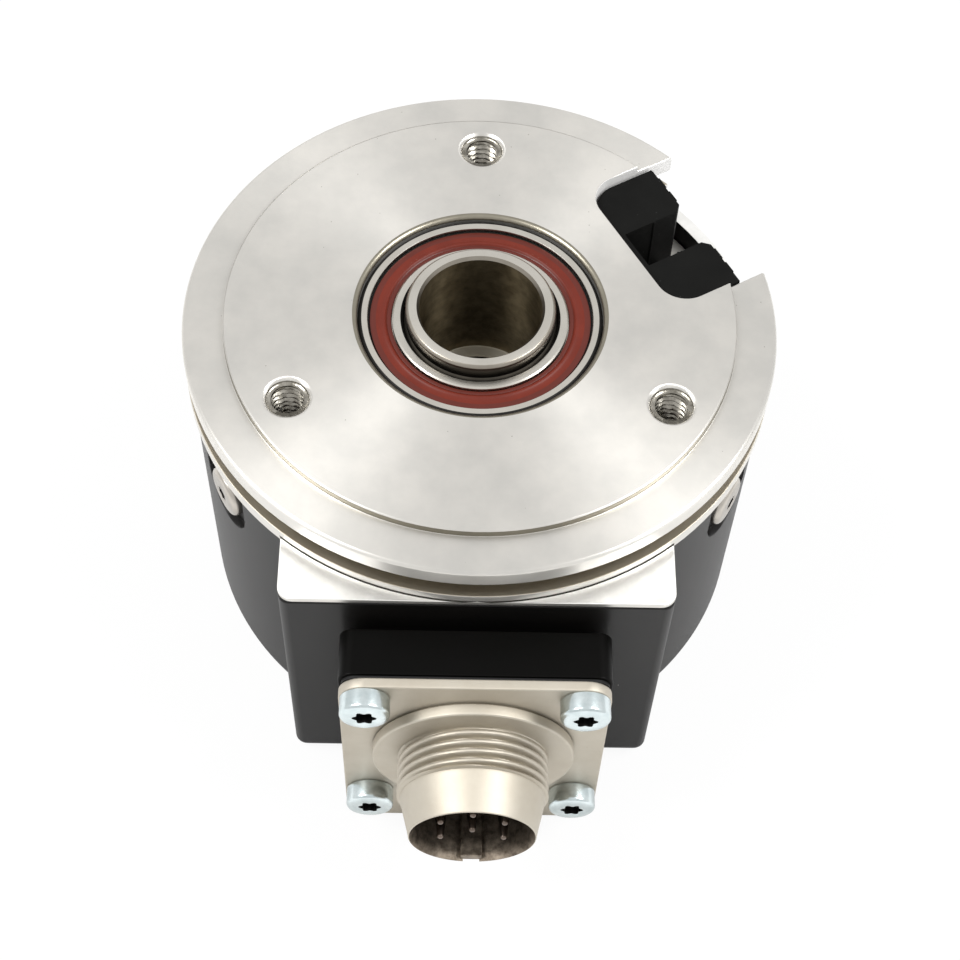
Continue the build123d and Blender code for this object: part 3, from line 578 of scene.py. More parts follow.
def from_node(node: str, finish: Finish) -> Piece:
    """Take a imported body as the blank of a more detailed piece.

    Args:
        node: the CAD node's name.
        finish: the finish of all its faces.

    Returns:
        A welded copy with its flat faces joined up.
    """
    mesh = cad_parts[node].data.copy()
    mesh.name = node + "_dressed"
    mesh.materials.clear()
    mesh.materials.append(finish.material())
    work = bmesh.new()
    work.from_mesh(mesh)
    bmesh.ops.remove_doubles(work, verts=work.verts, dist=PACKED_WELD)
    bmesh.ops.dissolve_limit(work, angle_limit=FLAT_ANGLE, verts=work.verts, edges=work.edges)
    bmesh.ops.recalc_face_normals(work, faces=work.faces)
    for face in work.faces:
        face.material_index = 0
    work.to_mesh(mesh)
    work.free()
    return add_object(node + "_dressed", mesh)


def apply_modifiers(piece: Piece) -> None:
    """Put the result of a piece's modifiers into its mesh.

    Args:
        piece: the piece that changes.
    """
    graph = bpy.context.evaluated_depsgraph_get()
    made = bpy.data.meshes.new_from_object(piece.evaluated_get(graph))
    made.name = piece.name
    piece.modifiers.clear()
    piece.data = made


def machine(piece: Piece, tools: Sequence[Piece],
            operation: str = "DIFFERENCE") -> None:
    """Cut tools out of a piece, or weld them to it.

    Args:
        piece: the piece that changes.
        tools: closed pieces that are used up.
        operation: DIFFERENCE, UNION or INTERSECT.
    """
    for tool in tools:
        step = piece.modifiers.new("machine", "BOOLEAN")
        step.operation = operation
        step.solver = "EXACT"
        step.material_mode = "TRANSFER"
        step.object = tool
    apply_modifiers(piece)
    for tool in tools:
        bpy.data.objects.remove(tool)


def soften(piece: Piece, width: float, rows: int = 2) -> None:
    """Break the sharp edges of a piece.

    Args:
        piece: the piece that changes.
        width: the width of the broken edge in millimetres.
        rows: faces across the broken edge.
    """
    step = piece.modifiers.new("soften", "BEVEL")
    step.width = width * MM
    step.segments = rows
    step.limit_method = "ANGLE"
    step.angle_limit = BROKEN_ANGLE
    step.use_clamp_overlap = False
    apply_modifiers(piece)


def in_metres(matrix: Matrix) -> Matrix:
    """Turn a matrix in millimetres into one in metres.

    Args:
        matrix: rotation, and place in millimetres.

    Returns:
        The same rotation, with the place in metres.
    """
    step = matrix.copy()
    step.translation = matrix.translation * MM
    return step


def move(piece: Piece, matrix: Matrix) -> Piece:
    """Move a piece's points by a matrix in millimetres.

    Args:
        piece: the piece that moves.
        matrix: rotation and place.

    Returns:
        The same piece.
    """
    piece.data.transform(in_metres(matrix))
    return piece


def copies(piece: Piece, matrices: Sequence[Matrix]) -> Piece:
    """Repeat a piece's mesh at several places, as one object.

    Args:
        piece: the piece to repeat, which takes the result.
        matrices: its places in millimetres.

    Returns:
        The same piece with all its copies.
    """
    work = bmesh.new()
    for matrix in matrices:
        mesh = piece.data.copy()
        mesh.transform(in_metres(matrix))
        work.from_mesh(mesh)
        bpy.data.meshes.remove(mesh)
    work.to_mesh(piece.data)
    work.free()
    return piece


def slot_of(piece: Piece, material: bpy.types.Material) -> int:
    """Find a material's slot on a piece, and add it where it is missing.

    Args:
        piece: the piece.
        material: the material.

    Returns:
        The slot's number.
    """
    if material.name not in piece.data.materials:
        piece.data.materials.append(material)
    return piece.data.materials.find(material.name)


def weld(pieces: Sequence[Piece]) -> Piece:
    """Put several separate solids into the first one's object.

    Args:
        pieces: the solids, of which all but the first are used up.

    Returns:
        The first piece with all the solids.
    """
    first = pieces[0]
    work = bmesh.new()
    for piece in pieces:
        slots = [slot_of(first, material) for material in piece.data.materials]
        start = len(work.faces)
        work.from_mesh(piece.data)
        work.faces.ensure_lookup_table()
        for face in work.faces[start:]:
            face.material_index = slots[face.material_index]
    work.to_mesh(first.data)
    work.free()
    for piece in pieces[1:]:
        bpy.data.objects.remove(piece)
    return first


def paint(piece: Piece, finish: Finish, wanted: Callable[[Vector, Vector], bool]) -> None:
    """Give some faces of a piece another finish.

    Args:
        piece: the piece that changes.
        finish: the new finish.
        wanted: says from a face's centre in millimetres and its normal whether it changes.
    """
    slot = slot_of(piece, finish.material())
    for face in piece.data.polygons:
        if wanted(face.center / MM, face.normal):
            face.material_index = slot


def show(piece: Piece, body: str, nodes: Sequence[str]) -> None:
    """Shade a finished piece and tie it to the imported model.

    Args:
        piece: the finished piece.
        body: the body it rides on.
        nodes: the CAD nodes that it stands for.
    """
    piece.data.polygons.foreach_set("use_smooth", [True] * len(piece.data.polygons))
    piece.data.set_sharp_from_angle(angle=CRISP_ANGLE)
    step = piece.modifiers.new("shade", "WEIGHTED_NORMAL")
    step.keep_sharp = True
    step.weight = 100
    apply_modifiers(piece)
    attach(piece, body)
    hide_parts(*nodes)
    LOG.info("built %s on %s, %d faces", piece.name, body, len(piece.data.polygons))


def show_softened(node: str, finish: Finish, edge: float) -> None:
    """Show a body of the housing with its edges broken and nothing else changed.

    Args:
        node: the CAD node's name.
        finish: the finish of all its faces.
        edge: the width of the broken edge in millimetres.
    """
    piece = from_node(node, finish)
    soften(piece, edge)
    show(piece, "housing", [node])


def flat_radius(place: Vector) -> float:
    """Distance of a point from the shaft's axis."""
    return math.hypot(place.x, place.y)


def connector_matrix(x: float, height: float, forward: float) -> Matrix:
    """Place along the connector's axis, where local Z points forward and local Y up.

    Args:
        x: place across, from the connector's axis.
        height: place up, from the connector's axis.
        forward: distance in front of the shaft's axis.

    Returns:
        The matrix in millimetres.
    """
    return Matrix.Translation((x, -forward, CONNECTOR_Z + height)) @ Matrix.Rotation(math.radians(90), 4, "X")


def radial_matrix(angle: float, radius: float, height: float) -> Matrix:
    """Place on a radius of the shaft's axis, where local Z points outwards.

    Args:
        angle: the radius's angle in degrees.
        radius: distance from the shaft's axis.
        height: height in millimetres.

    Returns:
        The matrix in millimetres.
    """
    turn = Matrix.Rotation(math.radians(angle), 4, "Z")
    return turn @ Matrix.Translation((radius, 0, height)) @ Matrix.Rotation(math.radians(90), 4, "Y")


@dataclass(frozen=True)
class Thread:
    """A screw thread as a change of radius along a turned surface. Lengths are in millimetres."""

    crest_r: float
    root_r: float
    pitch: float
    low: float
    high: float
    fade: float
    form: Form = Form.SHARP
    samples: int = 10

    def points(self) -> list[Point]:
        """Outline points at the crest's radius, from low to high."""
        count = max(2, round((self.high - self.low) / self.pitch * self.samples))
        return [(self.crest_r, self.low + (self.high - self.low) * k / count) for k in range(count + 1)]

    def warp(self, radius: float, height: float, angle: float) -> float:
        """Radius of the thread at a place.

        Args:
            radius: the turned radius there.
            height: the height along the axis.
            angle: the angle about it.

        Returns:
            The threaded radius, or the same one off the thread.
        """
        if abs(radius - self.crest_r) > 1e-6 or not self.low <= height <= self.high:
            return radius
        turn = (height / self.pitch - angle / (2 * math.pi)) % 1.0
        if self.form is Form.SHARP:
            depth = min(1.0, max(0.0, 1.3 * (1 - abs(2 * turn - 1)) - 0.15))
        else:
            depth = (0.5 - 0.5 * math.cos(2 * math.pi * turn)) ** 2
        ends = min(1.0, (height - self.low) / self.fade, (self.high - height) / self.fade)
        return radius - (self.crest_r - self.root_r) * depth * max(0.0, ends)


# Sub-assemblies, with sizes in millimetres


@dataclass(frozen=True)
class PanScrew:
    """Pan head screw with a lobed or round recess, its head's seat at local zero and its head up."""

    head_r: float
    head_height: float
    head_round: float
    recess_r: float
    recess_wave: float
    recess_depth: float
    thread_r: float
    thread_pitch: float
    shank_end: float

    def build(self, name: str, finish: Finish, recess_shade_finish: Finish) -> Piece:
        """Turn the screw and sink its recess.

        Args:
            name: the piece's name.
            finish: the finish of head and thread.
            recess_shade_finish: the finish inside the recess, a painted shade.

        Returns:
            The screw about the local Z axis.
        """
        thread = Thread(self.thread_r, self.thread_r - 0.61 * self.thread_pitch, self.thread_pitch,
                        self.shank_end + 0.3, -0.4, self.thread_pitch, Form.SHARP, 8)

        def warp(radius: float, height: float, angle: float) -> float:
            """Cut the thread below the head and the lobes in the recess.

            Args:
                radius: the turned radius.
                height: the height along the screw.
                angle: the angle about it.

            Returns:
                The radius with thread or lobes.
            """
            if height > 0 and 0 < radius <= self.recess_r:
                return radius - self.recess_wave * (1 - math.cos(6 * angle)) / 2
            return thread.warp(radius, height, angle)

        top = self.head_height
        crown = arc((self.head_r - self.head_round, top - self.head_round - 0.08), self.head_round, 0, 80, 5)
        outline = [(0, self.shank_end), (thread.root_r, self.shank_end), *thread.points(),
                   (self.thread_r, 0), (self.head_r - 0.1, 0), (self.head_r, 0.1), *crown,
                   (self.recess_r + 0.12, top), (self.recess_r, top - 0.06),
                   (self.recess_r, top - self.recess_depth), (0, top - self.recess_depth)]
        screw = lathe(name, outline, finish, 72, warp)
        # Painted shade inside the recess.
        paint(screw, recess_shade_finish, lambda place, normal: place.z > 0.2 and flat_radius(place) < self.recess_r
              and place.z < top - 0.05)
        return screw


@dataclass
class Flange:
    """Turned mounting flange with threaded holes, the milled pocket and the tongue under the rim."""

    spigot_r: float = 25.0
    spigot_depth: float = 0.8
    rim_r: float = 29.0
    pocket_angle: float = 30.0
    pocket_start: float = 13.2
    pocket_half: float = 8.55
    pocket_floor: float = -12.0
    groove_r: float = 26.5
    groove_top: float = -2.8
    groove_bottom: float = -4.95
    tongue_top: float = -5.9
    tongue_reach: float = 1.2
    corner_reach: float = 0.16
    seat_r: float = 12.03
    bevel_r: float = 12.5
    bevel_depth: float = 0.25
    hole_circle_r: float = 21.0
    hole_angles: tuple[float, ...] = (90, 210, 330)
    hole_reach: float = 2.05
    sleeve_r: float = 2.12
    sleeve_z: float = -6.72
    sleeve_turn: float = 0.02
    thread: Thread = Thread(crest_r=1.58, root_r=1.94, pitch=0.7, low=0.0, high=6.3, fade=0.5)
    edge: float = 0.12

    def thread_sleeve(self) -> Piece:
        """Wall of one threaded hole, its groove crests merging into the flange.

        Returns:
            A sleeve whose lower end is at height zero.
        """
        outline = [(self.sleeve_r, self.thread.low), (self.sleeve_r, self.thread.high),
                   *reversed(self.thread.points())]
        # The flanks take the hole finish, a painted shade.
        return lathe("thread_sleeve", outline, HOLE_SHADE_ALUMINIUM, 72, self.thread.warp)

    def paint_turned(self, piece: Piece) -> None:
        """Paint shade on the bevel of the bearing seat and in the servo groove.

        Args:
            piece: the flange.
        """
        # Painted shade on the bevel and wall of the bearing seat.
        paint(piece, BEVEL_SHADE_ALUMINIUM, lambda place, normal: -self.spigot_depth < place.z < -0.01
              and self.seat_r - 0.2 < flat_radius(place) < self.bevel_r + 0.02)
        # Painted shade in the servo groove.
        paint(piece, GROOVE_SHADE_ALUMINIUM, lambda place, normal: self.groove_bottom - 0.05 < place.z
              < self.groove_top + 0.05 and (self.groove_r - 0.1 < flat_radius(place) < self.rim_r - 0.15
                                            or normal.z > 0.9 and place.z < self.groove_bottom + 0.05))

    def paint_milled(self, piece: Piece) -> None:
        """Dress the tongue, with painted shade in its inner corner, and give the walls of the pocket a
        painted highlight.

        Args:
            piece: the flange.
        """
        turn = math.radians(self.pocket_angle)
        along = Vector((math.cos(turn), math.sin(turn), 0))
        across = Vector((-along.y, along.x, 0))
        paint(piece, MILLED_ALUMINIUM, lambda place, normal: place.z < self.groove_bottom - 0.05
              and normal.z > 0.6 and flat_radius(place) > self.rim_r - self.tongue_reach)
        # Painted shade in the inner corner beside the tongue.
        paint(piece, CORNER_SHADE_ALUMINIUM, lambda place, normal: 0.1 < normal.z < 0.97
              and abs(place.z - self.tongue_top) < self.corner_reach
              and abs(flat_radius(place) - self.rim_r) < self.corner_reach)
        # Painted highlight on the walls of the pocket.
        paint(piece, MATT_HIGHLIGHT_ALUMINIUM, lambda place, normal: abs(normal.z) < 0.9
              and self.pocket_floor < place.z < -0.01 and abs(place.dot(across)) < self.pocket_half + 0.15
              and self.pocket_start < place.dot(along) < self.spigot_r + 2)

    def build(self) -> None:
        """Make the flange."""
        piece = from_node("flange", TURNED_ALUMINIUM)
        centres = ring_places(self.hole_circle_r, self.hole_angles)
        turn = Matrix.Rotation(self.sleeve_turn, 4, "Z")
        sleeves = [move(self.thread_sleeve(), Matrix.Translation((x, y, self.sleeve_z)) @ turn)
                   for x, y in centres]
        soften(piece, self.edge)
        # The bevel's cut faces take this tool's finish, a painted shade.
        bevel = lathe("bevel", [(self.seat_r - 0.13, 0.1), (self.bevel_r + 0.17, 0.1),
                                (self.seat_r, -self.bevel_depth), (self.seat_r - 0.13, -self.bevel_depth)],
                      BEVEL_SHADE_ALUMINIUM)
        machine(piece, [bevel])
        machine(piece, sleeves, "UNION")
        self.paint_turned(piece)
        self.paint_milled(piece)
        # Painted shade on the spigot's low wall.
        paint(piece, BEVEL_SHADE_ALUMINIUM, lambda place, normal: abs(normal.z) < 0.5
              and -self.spigot_depth < place.z < -0.01 and abs(flat_radius(place) - self.spigot_r) < 0.05)
        # Painted shade inside the threaded holes.
        paint(piece, HOLE_SHADE_ALUMINIUM, lambda place, normal: place.z < -0.02 and any(
            math.hypot(place.x - x, place.y - y) < self.hole_reach for x, y in centres))
        show(piece, "housing", ["flange"])


@dataclass
class SlotInsert:
    """Moulded insert whose two jaws hold a torque pin."""

    edge: float = 0.05

    def build(self) -> None:
        """Make the insert."""
        show_softened("slot_insert", BLACK_POLYMER, self.edge)


@dataclass
class Bearing:
    """Sealed ball bearing with ground rings and red lip seals."""

    place: str
    top: float
    width: float = 5.0
    bore_r: float = 7.5
    outer_r: float = 12.0
    inner_shoulder_r: float = 8.6
    outer_shoulder_r: float = 11.0
    land_r: Point = (9.05, 10.45)
    ball_circle_r: float = 9.75
    ball_r: float = 1.19
    race_r: float = 1.22
    race_half: float = 1.6
    ball_count: int = 12
    inner_corner: float = 0.32
    outer_corner: float = 0.4
    outer_rise: float = 0.0
    seal_sink: float = 0.2
    seal_lip_r: float = 9.2
    seal_bead_r: float = 10.25
    seal_edge_r: float = 10.79

    def race(self, land: float, side: float) -> list[Point]:
        """Raceway section between the shoulders, from low to high.

        Args:
            land: radius of the land beside the raceway.
            side: +1 where the ring is outside the balls, -1 inside.

        Returns:
            The section's points.
        """
        middle = self.top - self.width / 2
        lift = abs(land - self.ball_circle_r) / self.race_r
        half = math.degrees(math.acos(lift))
        turns = [math.radians(-half + half * k / 6) for k in range(13)]
        return [(self.ball_circle_r + side * self.race_r * math.cos(t), middle + self.race_r * math.sin(t))
                for t in turns]

    def build_rings(self) -> None:
        """Make both ground rings."""
        low, high = self.top - self.width, self.top
        middle = self.top - self.width / 2
        inner = [(self.bore_r, low + 0.35), (self.bore_r + 0.12, low + 0.12), (self.bore_r + 0.35, low),
                 (self.inner_shoulder_r - 0.16, low), (self.inner_shoulder_r, low + 0.12),
                 (self.inner_shoulder_r, middle - self.race_half), (self.land_r[0], middle - self.race_half),
                 *self.race(self.land_r[0], -1), (self.land_r[0], middle + self.race_half),
                 (self.inner_shoulder_r, middle + self.race_half), (self.inner_shoulder_r, high - 0.12),
                 (self.inner_shoulder_r - 0.16, high), (self.bore_r + self.inner_corner, high),
                 (self.bore_r + 0.14, high - 0.12), (self.bore_r, high - 0.4)]
        ring = lathe(f"{self.place}_bearing_inner", inner, GROUND_STEEL)
        # Painted shade on the inner ring's bore and chamfers, for the gap at the shaft.
        paint(ring, DARK_EDGE_AND_SHADE_STEEL, lambda place, normal: flat_radius(place)
              < self.bore_r + self.inner_corner - 0.01)
        show(ring, "shaft", [f"{self.place}_bearing_inner_ring"])
        high += self.outer_rise
        outer = [(self.outer_r - 0.35, low), (self.outer_r - 0.1, low + 0.1), (self.outer_r, low + 0.35),
                 (self.outer_r, high - 0.5), (self.outer_r - 0.14, high - 0.2),
                 (self.outer_r - self.outer_corner, high), (self.outer_shoulder_r + 0.05, high),
                 (self.outer_shoulder_r, high - 0.05),
                 (self.outer_shoulder_r, middle + self.race_half), (self.land_r[1], middle + self.race_half),
                 *reversed(self.race(self.land_r[1], 1)), (self.land_r[1], middle - self.race_half),
                 (self.outer_shoulder_r, middle - self.race_half), (self.outer_shoulder_r, low + 0.08),
                 (self.outer_shoulder_r + 0.08, low)]
        ring = lathe(f"{self.place}_bearing_outer", outer, GROUND_STEEL)
        # Painted shade on the outer ring's side and corners, for the gap at the seat.
        paint(ring, DARK_EDGE_AND_SHADE_STEEL, lambda place, normal: flat_radius(place)
              > self.outer_r - self.outer_corner + 0.01)
        show(ring, "housing", [f"{self.place}_bearing_outer_ring"])

    def seal(self, face: float, out: float) -> Piece:
        """One seal with its raised bead and thin lip.

        Args:
            face: height of its outer face.
            out: +1 where that face looks up, -1 down.

        Returns:
            The seal.
        """
        section = [(8.68, 0.42), (8.7, 0.2), (8.84, 0.14), (9.02, 0.15), (9.1, 0.18), (9.18, 0.14),
                   (9.27, 0.02), (9.36, -0.03), (9.46, -0.03), (9.56, 0.02), (9.7, 0.08), (10.2, 0.1),
                   (10.7, 0.1), (10.78, 0.12), (10.83, 0.2), (10.86, 0.38), (11.0, 0.4), (11.0, 0.62),
                   (8.68, 0.62)]
        return lathe("seal", [(r, face - out * depth) for r, depth in section], RED_SEAL)

    def build(self) -> None:
        """Make rings, seals and balls, and leave the cage to its CAD body."""
        self.build_rings()
        pair = weld([self.seal(self.top - self.seal_sink, 1),
                     self.seal(self.top - self.width + self.seal_sink, -1)])
        pair.name = f"{self.place}_bearing_seal_pair"
        # Painted shade on the seal's lip slope and outer band.
        paint(pair, SHADED_SEAL, lambda place, normal: flat_radius(place) < self.seal_lip_r
              or flat_radius(place) > self.seal_bead_r)
        # Painted shadow: black at the seal's outer edge, in the gap against the outer ring.
        paint(pair, BLACK_RUBBER_AND_SHADOW, lambda place, normal: flat_radius(place) > self.seal_edge_r)
        show(pair, "housing", [f"{self.place}_bearing_seals"])
        turns = [360 * k / self.ball_count for k in range(self.ball_count)]
        middle = self.top - self.width / 2
        spots = [Matrix.Translation((x, y, middle)) for x, y in ring_places(self.ball_circle_r, turns)]
        balls = copies(ball(f"{self.place}_bearing_ball_set", self.ball_r, GROUND_STEEL), spots)
        show(balls, f"{self.place}_cage", [f"{self.place}_bearing_balls"])


@dataclass
class HollowShaft:
    """Honed hollow shaft with a step down to the bore of its centre screw."""

    top: float = 0.9
    outer_r: float = 7.5
    end_r: float = 7.3
    bore_r: float = 6.0
    step: float = -13.5
    screw_bore_r: float = 4.75
    bottom: float = -33.0
    groove_r: float = 6.9
    groove: Point = (-15.7, -16.6)

    def build(self) -> None:
        """Make the shaft."""
        outline = [(self.screw_bore_r, self.bottom), (self.outer_r - 0.2, self.bottom),
                   (self.outer_r, self.bottom + 0.2), (self.outer_r, self.groove[1]),
                   (self.groove_r, self.groove[1]), (self.groove_r, self.groove[0]),
                   (self.outer_r, self.groove[0]), (self.outer_r, -1.0), (self.end_r, -0.8),
                   (self.end_r, self.top - 0.7), (self.end_r, self.top - 0.3),
                   (self.end_r - 0.04, self.top - 0.22),
                   (self.end_r - 0.22, self.top - 0.03), (self.end_r - 0.28, self.top),
                   (self.bore_r + 0.24, self.top), (self.bore_r, self.top - 0.35),
                   (self.bore_r, self.step + 0.1), (self.bore_r - 0.1, self.step),
                   (self.screw_bore_r + 0.15, self.step), (self.screw_bore_r, self.step - 0.15)]
        piece = lathe("honed_shaft", outline, HONED_STEEL, 256)
        paint(piece, CHAMFER_STEEL, lambda place, normal: place.z > self.top - 0.5)
        paint(piece, GROUND_STEEL, lambda place, normal: normal.z > 0.9 and place.z > self.top - 0.1)
        # Painted highlight on the step's ledge.
        paint(piece, FACED_HIGHLIGHT_STEEL, lambda place, normal: normal.z > 0.4 and abs(place.z - self.step) < 0.2)
        # Painted shade on the shaft's side below its end face.
        paint(piece, SHADED_SHAFT_STEEL, lambda place, normal: -1.2 < place.z < self.top - 0.45
              and flat_radius(place) > self.bore_r + 0.5)
        show(piece, "shaft", ["hollow_shaft"])


@dataclass
class Cover:
    """Black cover with bare machined lips, its screws, and the plug in its back."""

    lip_z: float = -6.9
    square_front: float = -21.5
    screw_angles: tuple[float, ...] = (90, 210, 330)
    screw_seat_r: float = 27.8
    screw_z: float = -11.0
    screw: PanScrew = PanScrew(head_r=2.6, head_height=1.1, head_round=0.6, recess_r=0.8, recess_wave=0.25,
                               recess_depth=0.7, thread_r=1.5, thread_pitch=0.5, shank_end=-5.5)
    edge: float = 0.14
    plug_edge: float = 0.15

    def build(self) -> None:
        """Make the cover, its screws and its plug."""
        piece = from_node("cover", BLACK_ANODISED)
        soften(piece, self.edge)
        paint(piece, MILLED_ALUMINIUM, lambda place, normal: place.z > self.lip_z - 0.03 and normal.z > 0.3
              and place.y > self.square_front)
        show(piece, "housing", ["cover"])
        # The screws' recesses get painted shade.
        screws = self.screw.build("cover_screw_set", BARE_STEEL, DARK_EDGE_AND_SHADE_STEEL)
        copies(screws, [radial_matrix(a, self.screw_seat_r, self.screw_z) for a in self.screw_angles])
        show(screws, "housing", ["cover_screws"])
        show_softened("rear_plug", BLACK_POLYMER, self.plug_edge)


@dataclass
class Connector:
    """Panel connector: block, shell with its round thread, pins and screws."""

    block_edge: float = 0.14
    plate_edge: float = 0.16
    plate_back: float = 35.45
    plate_front: float = 36.5
    plate_half_width: float = 12.7
    plate_span: Point = (-16.5, 12.5)
    plate_corner: float = 2.5
    collar_r: float = 9.75
    collar_front: float = 37.75
    sleeve_r: float = 7.6
    sleeve_back: float = 29.0
    thread: Thread = Thread(crest_r=7.27, root_r=6.62, pitch=0.95, low=37.75, high=41.75, fade=0.3,
                            form=Form.ROUND, samples=12)
    barrel_r: float = 6.95
    mouth_r: float = 6.1
    mouth: float = 45.9
    socket_r: float = 5.7
    key_half_width: float = 0.8
    key_length: float = 5.0
    key_floor: float = -5.86
    rib_side: float = 0.25
    rib_span: Point = (-5.95, -4.95)
    rib_edge: float = 0.12
    hole_r: float = 1.4
    bore_turn: float = 0.01
    screw_reach: float = 10.2
    screw: PanScrew = PanScrew(head_r=2.35, head_height=2.1, head_round=0.4, recess_r=1.15, recess_wave=0.3,
                               recess_depth=1.1, thread_r=1.25, thread_pitch=0.45, shank_end=-4.9)
    pin_r: float = 0.55
    pin_end_r: float = 0.33
    pin_crown: float = 0.32
    pin_circle_r: float = 3.5
    pin_tip: float = 45.3
    pin_tail: float = 24.5

    def build_shell(self) -> None:
        """Turn and mill the shell."""
        neck_r = self.collar_r - 0.3
        outline = [(0, self.sleeve_back), (self.sleeve_r, self.sleeve_back),
                   (self.sleeve_r, self.plate_front - 0.5), (neck_r, self.plate_front - 0.5),
                   (neck_r, self.plate_front + 0.1), (self.collar_r, self.plate_front + 0.2),
                   *arc((self.collar_r - 0.22, self.collar_front - 0.22), 0.22, 0, 90, 4),
                   *self.thread.points(), (self.barrel_r, self.thread.high + 0.12),
                   (self.barrel_r, self.thread.high + 0.4), (self.mouth_r + 0.02, self.mouth - 0.3),
                   *arc((self.mouth_r - 0.14, self.mouth - 0.14), 0.14, 0, 90, 4), (0, self.mouth)]
        shell = lathe("connector_body", outline, SATIN_NICKEL, 192, self.thread.warp)
        plate = prism("plate", rounded_plate(self.plate_half_width, *self.plate_span, self.plate_corner),
                      self.plate_back, self.plate_front, SATIN_NICKEL)
        soften(plate, self.plate_edge, rows=3)
        machine(shell, [plate], "UNION")
        half = self.key_half_width
        groove = prism("groove", [(-half, -8), (half, -8), (half, self.key_floor), (-half, self.key_floor)],
                       self.mouth - self.key_length, self.mouth + 1, SATIN_NICKEL)
        # The socket's bore faces take a painted shade.
        bore = lathe("bore", [(0, self.sleeve_back - 1), (self.socket_r, self.sleeve_back - 1),
                              (self.socket_r, self.mouth - 1.0), (self.mouth_r - 0.13, self.mouth - 0.05),
                              (self.mouth_r - 0.05, self.mouth + 0.1), (0, self.mouth + 0.1)],
                     SHADED_NICKEL, 128)
        move(bore, Matrix.Rotation(self.bore_turn, 4, "Z"))
        drill = [(0, -1), (self.hole_r, -1), (self.hole_r, 3), (0, 3)]
        holes = [move(lathe("hole", drill, SATIN_NICKEL, 48), Matrix.Translation((x, y, self.plate_back)))
                 for x, y in self.screw_places()]
        machine(shell, [bore, *holes])
        side = half + self.rib_side
        low, high = self.rib_span
        # The rib inside the socket takes the same painted shade.
        rib = prism("rib", [(-side, low), (side, low), (side, high), (-side, high)],
                    self.mouth - self.key_length - 0.45, self.mouth - 0.2, SHADED_NICKEL)
        soften(rib, self.rib_edge)
        machine(shell, [rib], "UNION")
        machine(shell, [groove])
        show(move(shell, connector_matrix(0, 0, 0)), "housing", ["connector_shell"])

    def screw_places(self) -> list[Point]:
        """Places of the four screws from the connector's axis."""
        reach = self.screw_reach
        return [(x, y) for x in (-reach, reach) for y in (-reach, reach)]

    def build_pins(self) -> None:
        """Turn the six tapered pins."""
        crown = [(self.pin_end_r * math.cos(t) ** 0.8, self.pin_tip - self.pin_crown * (1 - math.sin(t)))
                 for t in (0, 0.4, 0.8, 1.2)]
        outline = [(0, self.pin_tail), (self.pin_r, self.pin_tail), (self.pin_r, self.pin_tip - 2.2),
                   *crown, (0, self.pin_tip)]
        pins = lathe("pin_set", outline, SILVER_PLATE, 48)
        places = [(0.0, 0.0), *ring_places(self.pin_circle_r, range(-30, 211, 60))]
        copies(pins, [connector_matrix(x, y, 0) for x, y in places])
        show(pins, "housing", ["connector_pins"])

    def build(self) -> None:
        """Make the connector."""
        show_softened("connector_block", BLACK_PAINT, self.block_edge)
        self.build_shell()
        self.build_pins()
        # The screws' recesses get painted shade.
        screws = self.screw.build("connector_screw_set", ZINC_STEEL, DARK_EDGE_AND_SHADE_STEEL)
        copies(screws, [connector_matrix(x, y, self.plate_front) for x, y in self.screw_places()])
        show(screws, "housing", ["connector_screws"])


def dress_carried_nodes() -> None:
    """Give every carried CAD node its finish."""
    for name, finish in CARRIED.items():
        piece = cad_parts[name]
        piece.data.materials.clear()
        piece.data.materials.append(finish.material())
        LOG.info("dressed %s with %s", name, finish.name)


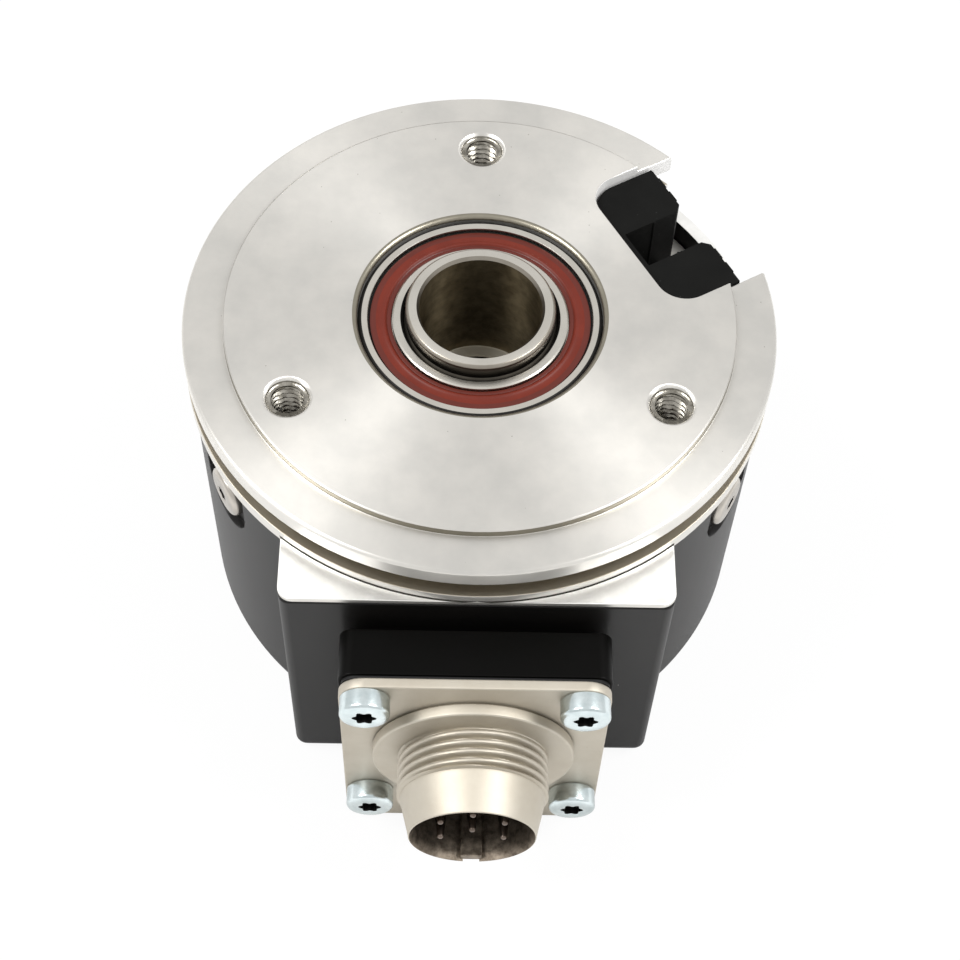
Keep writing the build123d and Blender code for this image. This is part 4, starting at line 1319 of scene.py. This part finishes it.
@dataclass
class Studio:
    """Floor, lights and camera. Lengths are in metres."""

    floor_z: float = -0.0385
    focal_px: float = 1944.0
    image_px: float = 960.0
    sensor_mm: float = 36.0
    centre_px: Point = (492.0, 547.6)
    camera_place: Place = (-0.00286, -0.11665, 0.15037)
    camera_right: Place = (0.9996, 0.0033, 0.0289)
    camera_up: Place = (-0.0177, 0.8581, 0.5131)
    world_strength: float = 0.6
    floor_half: float = 3.0
    floor_white: float = 0.93
    lamp_size: float = 0.3
    lamp_aim: Place = (0, 0, -0.01)
    left_lamp: Place = (-0.44, -0.07, 0.6)
    left_watts: float = 4.3
    right_lamp: Place = (0.46, -0.05, 0.6)
    right_watts: float = 4.1

    def camera(self) -> None:
        """Place the camera that the photograph was fitted with."""
        data = bpy.data.cameras.new("camera")
        data.sensor_width = self.sensor_mm
        data.lens = self.focal_px / self.image_px * self.sensor_mm
        data.shift_x = (self.image_px / 2 - self.centre_px[0]) / self.image_px
        data.shift_y = (self.centre_px[1] - self.image_px / 2) / self.image_px
        data.clip_start = 0.01
        data.clip_end = 50.0
        right = Vector(self.camera_right).normalized()
        up = Vector(self.camera_up)
        up = (up - right * up.dot(right)).normalized()
        back = right.cross(up)
        turn = Matrix((right, up, back)).transposed().to_4x4()
        holder = add_object("camera", data)
        holder.matrix_world = Matrix.Translation(self.camera_place) @ turn
        bpy.context.scene.camera = holder

    def world(self) -> None:
        """White for the camera and for glossy and transmission rays, plain grey light for everything else."""
        world = bpy.data.worlds.new("studio")
        bpy.context.scene.world = world
        tree = fresh_tree(world)
        soft = add_node(tree, "Background", {"Color": (1, 1, 1, 1), "Strength": self.world_strength}, {})
        white = add_node(tree, "Background", {"Color": (1, 1, 1, 1), "Strength": 1.0}, {})
        seen = ray_share(tree, ("Is Camera Ray", "Is Glossy Ray", "Is Transmission Ray"))
        both = add_node(tree, "MixShader", {}, {0: seen, 1: soft.outputs[0], 2: white.outputs[0]})
        add_node(tree, "OutputWorld", {}, {"Surface": both.outputs[0]})

    def floor(self) -> None:
        """A pale floor that keeps a light shadow."""
        mesh = bpy.data.meshes.new("floor")
        half = self.floor_half
        corners = [(-half, -half), (half, -half), (half, half), (-half, half)]
        mesh.from_pydata([(x, y, self.floor_z) for x, y in corners], [], [(0, 1, 2, 3)])
        made = bpy.data.materials.new("paper_white")
        tree = fresh_tree(made)
        paper = add_node(tree, "BsdfDiffuse", {"Color": srgb("f4f4f4")}, {})
        white = add_node(tree, "Emission", {"Color": (1, 1, 1, 1), "Strength": 1.0}, {})
        seen = ray_share(tree, ("Is Camera Ray", "Is Transmission Ray"))
        share = add_node(tree, "Math", {"operation": "MULTIPLY", 1: self.floor_white}, {0: seen}).outputs[0]
        both = add_node(tree, "MixShader", {}, {0: share, 1: paper.outputs[0], 2: white.outputs[0]})
        add_node(tree, "OutputMaterial", {}, {"Surface": both.outputs[0]})
        mesh.materials.append(made)
        add_object("floor", mesh)

    def lamp(self, name: str, place: Place, power: float) -> None:
        """A soft square lamp that looks at the part.

        Args:
            name: the lamp's name.
            place: its centre in metres.
            power: its power in watts.
        """
        data = bpy.data.lights.new(name, "AREA")
        data.shape = "SQUARE"
        data.size = self.lamp_size
        data.energy = power
        aim = Vector(place) - Vector(self.lamp_aim)
        turn = aim.to_track_quat("Z", "Y").to_matrix().to_4x4()
        add_object(name, data).matrix_world = Matrix.Translation(place) @ turn

    def build(self) -> None:
        """Set the whole studio."""
        self.camera()
        self.world()
        self.floor()
        self.lamp("left_lamp", self.left_lamp, self.left_watts)
        self.lamp("right_lamp", self.right_lamp, self.right_watts)
        bpy.context.scene.view_settings.view_transform = "Standard"


def main() -> None:
    """Build the studio and dress the encoder."""
    logging.basicConfig(level=logging.INFO, format="%(name)s: %(message)s")
    Studio().build()
    assemblies = (Flange(), SlotInsert(), Bearing("front", -0.7, outer_rise=0.12), Bearing("rear", -10.7),
                  HollowShaft(), Cover(), Connector())
    for assembly in assemblies:
        assembly.build()
        LOG.info("finished %s", type(assembly).__name__)
    dress_carried_nodes()


if __name__ == "__main__":
    main()
